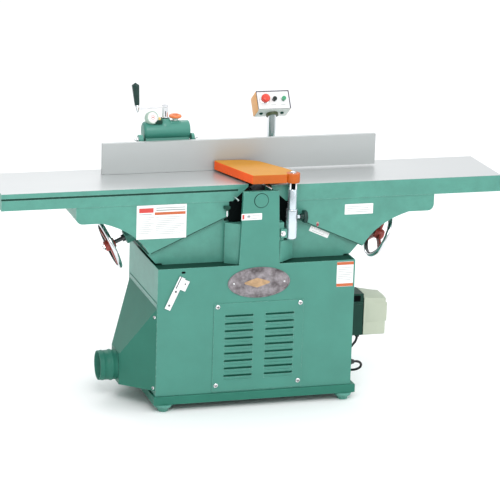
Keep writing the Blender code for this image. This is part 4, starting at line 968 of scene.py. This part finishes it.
def make_crank():
    base = SPINDLE + Vector((0, 0, 0.0003))
    shaft = mm(0, 0, 13.8, 0, 13.8, 3.5, 11.8, 5, 11.8, 44, 12.8, 45, 12.8, 50.5, 11.5, 52, 0, 52)
    turned("crank_shaft", "chrome", shaft, base, body="fence_crank", stands_for="crank_arm", sharp=40)
    # Painted shade: near-black blocks for the shade in the shaft's slit and round its foot.
    slit = block(base + Vector((-0.0016, -0.0123, 0.008)), base + Vector((0.0016, -0.0112, 0.03)))
    foot_ring = lathe(mm(13.6, 0.2, 14.6, 0.2, 14.6, 2.6, 13.6, 2.6), base)
    piece("crank_shaft_slit", merged(slit, foot_ring), "shade", "fence_crank")
    end = base + Vector((-0.118, -0.02, 0.046))
    lean = Vector((-0.1, 0, 1)).normalized()
    run = end - Vector((base.x, base.y, end.z))
    aim = placed(base.x, base.y, end.z) @ Matrix.Rotation(atan2(run.y, run.x), 4, "Z")
    outline = [(0.004, -0.0062), (run.length, -0.0052), *arc(run.length, 0, 0.0052, -70, 70, 7),
        (run.length, 0.0052), (0.004, 0.0062)]
    arm = slab(outline, 0.008, aim @ placed(0, 0, -0.004))
    piece("crank_bar", arm, "bright", "fence_crank", bevel=0.0012, segments=3)
    turned("crank_foot", "chrome", mm(0, -15, 3, -15, 5, -10, 8.8, 6, 8.8, 11, 8, 12, 0, 12), end, lean, 32,
        body="fence_crank", sharp=40)
    foot = end + lean * 0.0123
    turned("crank_grip_body", "grip", mm(0, 0, 8.6, 0, 10, 2, 11.2, 12, 15.8, 80, 14.8, 83.5, 0, 93.5),
        foot, lean, 6, body="crank_grip", stands_for="crank_grip", bevel=0.0006, segments=1, sharp=12)
    piece("crank_grip_ring", lathe(mm(7.5, 0, 10, 0, 10.3, 1.2, 9.8, 2.4, 7.5, 2.4), foot, lean, 32),
        "chrome", "crank_grip")


def make_lock_knob():
    base = Vector((MID_X + 0.047, BARREL_Y, BARREL_Z + BARREL_R + 0.0003))
    knob = "fence_lock_knob"
    foot = mm(0, 0, 9, 0, 9, 4, 11.5, 6, 17, 12.5, 19, 15, 0, 15)
    turned("lock_knob_foot", "pale", foot, base, body=knob, sharp=50)
    ring = mm(13, 12.5, 22.5, 12.5, 25.2, 15, 25.8, 18.5, 24, 22.5, 20, 25.2, 16.5, 25, 13, 21.5)
    turned("lock_knob_ring", "knob_orange", ring, base, UP, 56, knob, knob, sharp=60)
    dish = mm(0, 14.8, 13.2, 14.8, 13.2, 20.5, 6, 19, 0, 19)
    turned("lock_knob_dish", "maroon", dish, base, body=knob, sharp=50)


# ---------------------------------------------------------------- electrics
BOX_TILT = radians(34)
BOX = Vector((0.1425, 0.082, 0.083))           # the control box's size
BOX_LOW = Vector((0.2, 0.325, 1.058))          # the middle of its underside
BOX_PLACE = Matrix.Translation(BOX_LOW) @ Matrix.Rotation(-BOX_TILT, 4, "X")


def make_control_box():
    half_x, half_y = BOX.x / 2, BOX.y / 2
    bm = block((-half_x, -half_y, 0), (half_x, half_y, BOX.z), 0.006, 4)
    bm.normal_update()
    for face in bm.faces:
        if abs(face.normal.x) > 0.55:
            face.material_index = 1
    add_piece("control_box_shell", moved(bm, LINE @ BOX_PLACE), ["pale", "box_orange"], "root",
        "orange_plastic", "control_box", sharp=40)
    frame_place = BOX_PLACE @ facing_front(0, -half_y, BOX.z / 2)
    outer = round_rect(-half_x + 0.0012, half_x - 0.0012, -BOX.z / 2 + 0.0025, BOX.z / 2 - 0.0008, 0.003)
    piece("control_box_border", slab(outer, 0.0009, frame_place), "border", sharp=40)
    inner = round_rect(-half_x + 0.0036, half_x - 0.0062, -BOX.z / 2 + 0.0035, BOX.z / 2 - 0.0058, 0.002)
    piece("control_box_face", slab(inner, 0.0014, frame_place), "label", sharp=40)
    marks = [block((x, -0.0225, 0.0013), (x + 0.02, -0.0212, 0.0017)) for x in (-0.012, 0.029)]
    piece("control_box_marks", moved(merged(*marks), frame_place), "label_rule")
    glands = [lathe(mm(0, 0, 7.8, 0, 7.8, 3.5, 5, 6, 0, 6), (dx, -0.004, 0), (0, 0, -1), 6)
              for dx in (-0.049, 0.04)]
    piece("control_box_glands", moved(merged(*glands), BOX_PLACE), "dark")
    collar = lathe(mm(19, -12, 23.5, -12, 25, -10, 25, 4, 19, 4), (0, 0.005, 0))
    piece("control_box_collar", moved(collar, BOX_PLACE), "olive", sharp=40)
    refine("column_bracket", "cast", 0.0018)
    refine("control_column", "chrome", 0)

    out = Vector((0, -cos(BOX_TILT), sin(BOX_TILT)))
    up = Vector((0, sin(BOX_TILT), cos(BOX_TILT)))
    middle = BOX_LOW + out * half_y + up * (BOX.z / 2 + 0.002)
    mushroom = ((0, 0), (0.62, 0), (0.62, 16), (0.86, 17.5), (0.98, 21.5), (1, 26.5), (0.95, 31),
                (0.8, 34.4), (0.5, 36.4), (0, 37.1))
    flat = ((0, 0), (0.62, 0), (0.62, 15.5), (0.84, 16), (0.92, 19.5), (0.86, 22.2), (0.62, 23), (0, 22.6))
    for name, mat, dx, radius, shape in (
            ("emergency_stop_button", "stop_red", -0.038, 0.0185, mushroom),
            ("start_button", "black", 0.003, 0.01, flat), ("feed_button", "go_green", 0.042, 0.01, flat)):
        place = middle + Vector((dx, 0, 0))
        turned(name + "_cap", mat, [(radius * a, d / 1000) for a, d in shape], place - out * 0.0062, out,
               48, name, name, sharp=50)
        inner = radius * 0.62 + 0.0008
        bezel = [(inner, 0), (radius * 1.14, 0), (radius * 1.14, 0.0016), (radius * 1.02, 0.0034),
                 (inner, 0.0037)]
        turned(name + "_bezel", "bright", bezel, place + out * 0.0012, out, 48, sharp=40)


def smooth_route(route):
    """Points along a Catmull-Rom curve through the route, eight to each span."""
    points = [Vector(p) for p in route]
    points = [points[0] * 2 - points[1], *points, points[-1] * 2 - points[-2]]
    steps = 8
    fine = []
    for a, b, c, d in zip(points, points[1:], points[2:], points[3:]):
        for step in range(steps):
            t = step / steps
            fine.append(0.5 * (2 * b + (c - a) * t + (2 * a - 5 * b + 4 * c - d) * t ** 2
                               + (3 * b - a - 3 * c + d) * t ** 3))
    fine.append(points[-2])
    return fine


CABLE = ((0.451, -0.11, 0.2305), (0.4505, -0.11, 0.218), (0.444, -0.111, 0.202), (0.431, -0.111, 0.186),
         (0.418, -0.108, 0.166), (0.408, -0.104, 0.142), (0.403, -0.106, 0.118), (0.405, -0.118, 0.1),
         (0.416, -0.14, 0.095), (0.432, -0.162, 0.102), (0.444, -0.18, 0.116), (0.444, -0.192, 0.133),
         (0.433, -0.196, 0.145), (0.42, -0.196, 0.148), (0.4125, -0.196, 0.148))
WALL_X = 0.3913                                # the outer face of the cabinet's right wall


def make_cable():
    places = smooth_route(CABLE)
    curve = bpy.data.curves.new("control_cable_jacket", "CURVE")
    curve.dimensions = "3D"
    curve.bevel_depth = 0.0048
    curve.bevel_resolution = 6
    curve.use_fill_caps = True
    spline = curve.splines.new("POLY")
    spline.points.add(len(places) - 1)
    for point, place in zip(spline.points, places):
        point.co = (*at(*place), 1)
        point.radius = 1
    curve.materials.append(PAINT["rubber"])
    cable = linked("control_cable_jacket", curve)
    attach(cable, "root")
    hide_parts("control_cable")


def make_switch_box():
    refine("switch_box_base", "dark", 0.0022, 3)
    low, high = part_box("switch_box_base")
    # Painted shade: a near-black plate stands for the dark opening near the top of the base.
    outline = round_rect(low.x + 0.006, high.x - 0.014, high.z - 0.031, high.z - 0.007, 0.004)
    add_piece("switch_box_recess", slab(outline, 0.0006, facing_front(0, low.y, 0)), "shade", "root")
    lip = block((low.x + 0.004, low.y - 0.003, high.z - 0.045),
                (high.x - 0.004, low.y + 0.002, high.z - 0.035), 0.0012)
    add_piece("switch_box_lip", lip, "dark", "root")
    x0, x1 = high.x + 0.0003, 0.5639
    y0, y1 = -0.125, -0.018
    z0, z1 = 0.231, 0.405
    section = [(y0, z0 + 0.004), (y0 + 0.004, z0), (y1 - 0.004, z0), (y1, z0 + 0.004),
               (y1, z1 - 0.012), (y1 - 0.012, z1), (y0 + 0.034, z1), (y0, z1 - 0.016)]
    hull = prism_x(section, x0, x1)
    hull.verts.ensure_lookup_table()
    for vert in hull.verts:
        if vert.co.x > x1 - 1e-4 and vert.co.z > z1 - 0.0165:
            vert.co.z -= 0.018 if vert.co.z > z1 - 0.001 else 0.006
    piece("switch_box_hull", hull, "beige", "root", "switch_box_cover", bevel=0.005, segments=4)
    band = block((x1 - 0.02, y0 + 0.005, z0 + 0.054), (x1 + 0.008, y1 - 0.005, z1 - 0.042), 0.003, 3)
    front = block((x0 + 0.01, y0 - 0.0006, z0 + 0.054), (x1 + 0.0005, y0 + 0.004, z1 - 0.042), 0.001, 2)
    piece("switch_box_band", merged(band, front), "beige", sharp=40)
    # Painted shade: a near-black strip for the shade in the seam between base and cover.
    seam = block((x0 - 0.0002, y0 + 0.002, z0 + 0.002), (x0 + 0.0016, y1 - 0.002, z1 - 0.018))
    piece("switch_box_seam", seam, "shade")
    for name, mat, z in (("reset", "stop_red", 0.305), ("start", "go_green", 0.342)):
        turned("switch_box_" + name, mat, mm(0, 0, 11, 0, 11, 3, 9.5, 4.5, 0, 4.5),
               (x1 + 0.0078, -0.0715, z), RIGHT, 36, sharp=45)
    make_cable()
    end = Vector(CABLE[-1])
    nose = end.x - WALL_X - 0.0003
    profile = mm(0, 0, 13, 0, 13, 2, 11.8, 2.8, 11.8, 10.5, 10.5, 12)
    profile += [(0.0092, nose - 0.003), (0.0066, nose), (0, nose)]
    turned("wall_gland_body", "black", profile, (WALL_X, end.y, end.z), RIGHT, 32, stands_for="wall_gland",
           sharp=40)
    turned("switch_box_gland", "black", mm(5, 0, 8.5, 0, 9.5, 2, 9.5, 7, 5, 7.2),
           Vector(CABLE[0]) - Vector((0, 0, 0.0068)), UP, 32, sharp=40)


make_camera()
make_stage()
make_cabinet()
make_access_panel()
make_nameplate()
make_front_lever()
make_rear()
make_dust()
make_bed()
make_tables()
make_table_details()
make_guard()
make_fence()
make_crank()
make_lock_knob()
make_control_box()
make_switch_box()
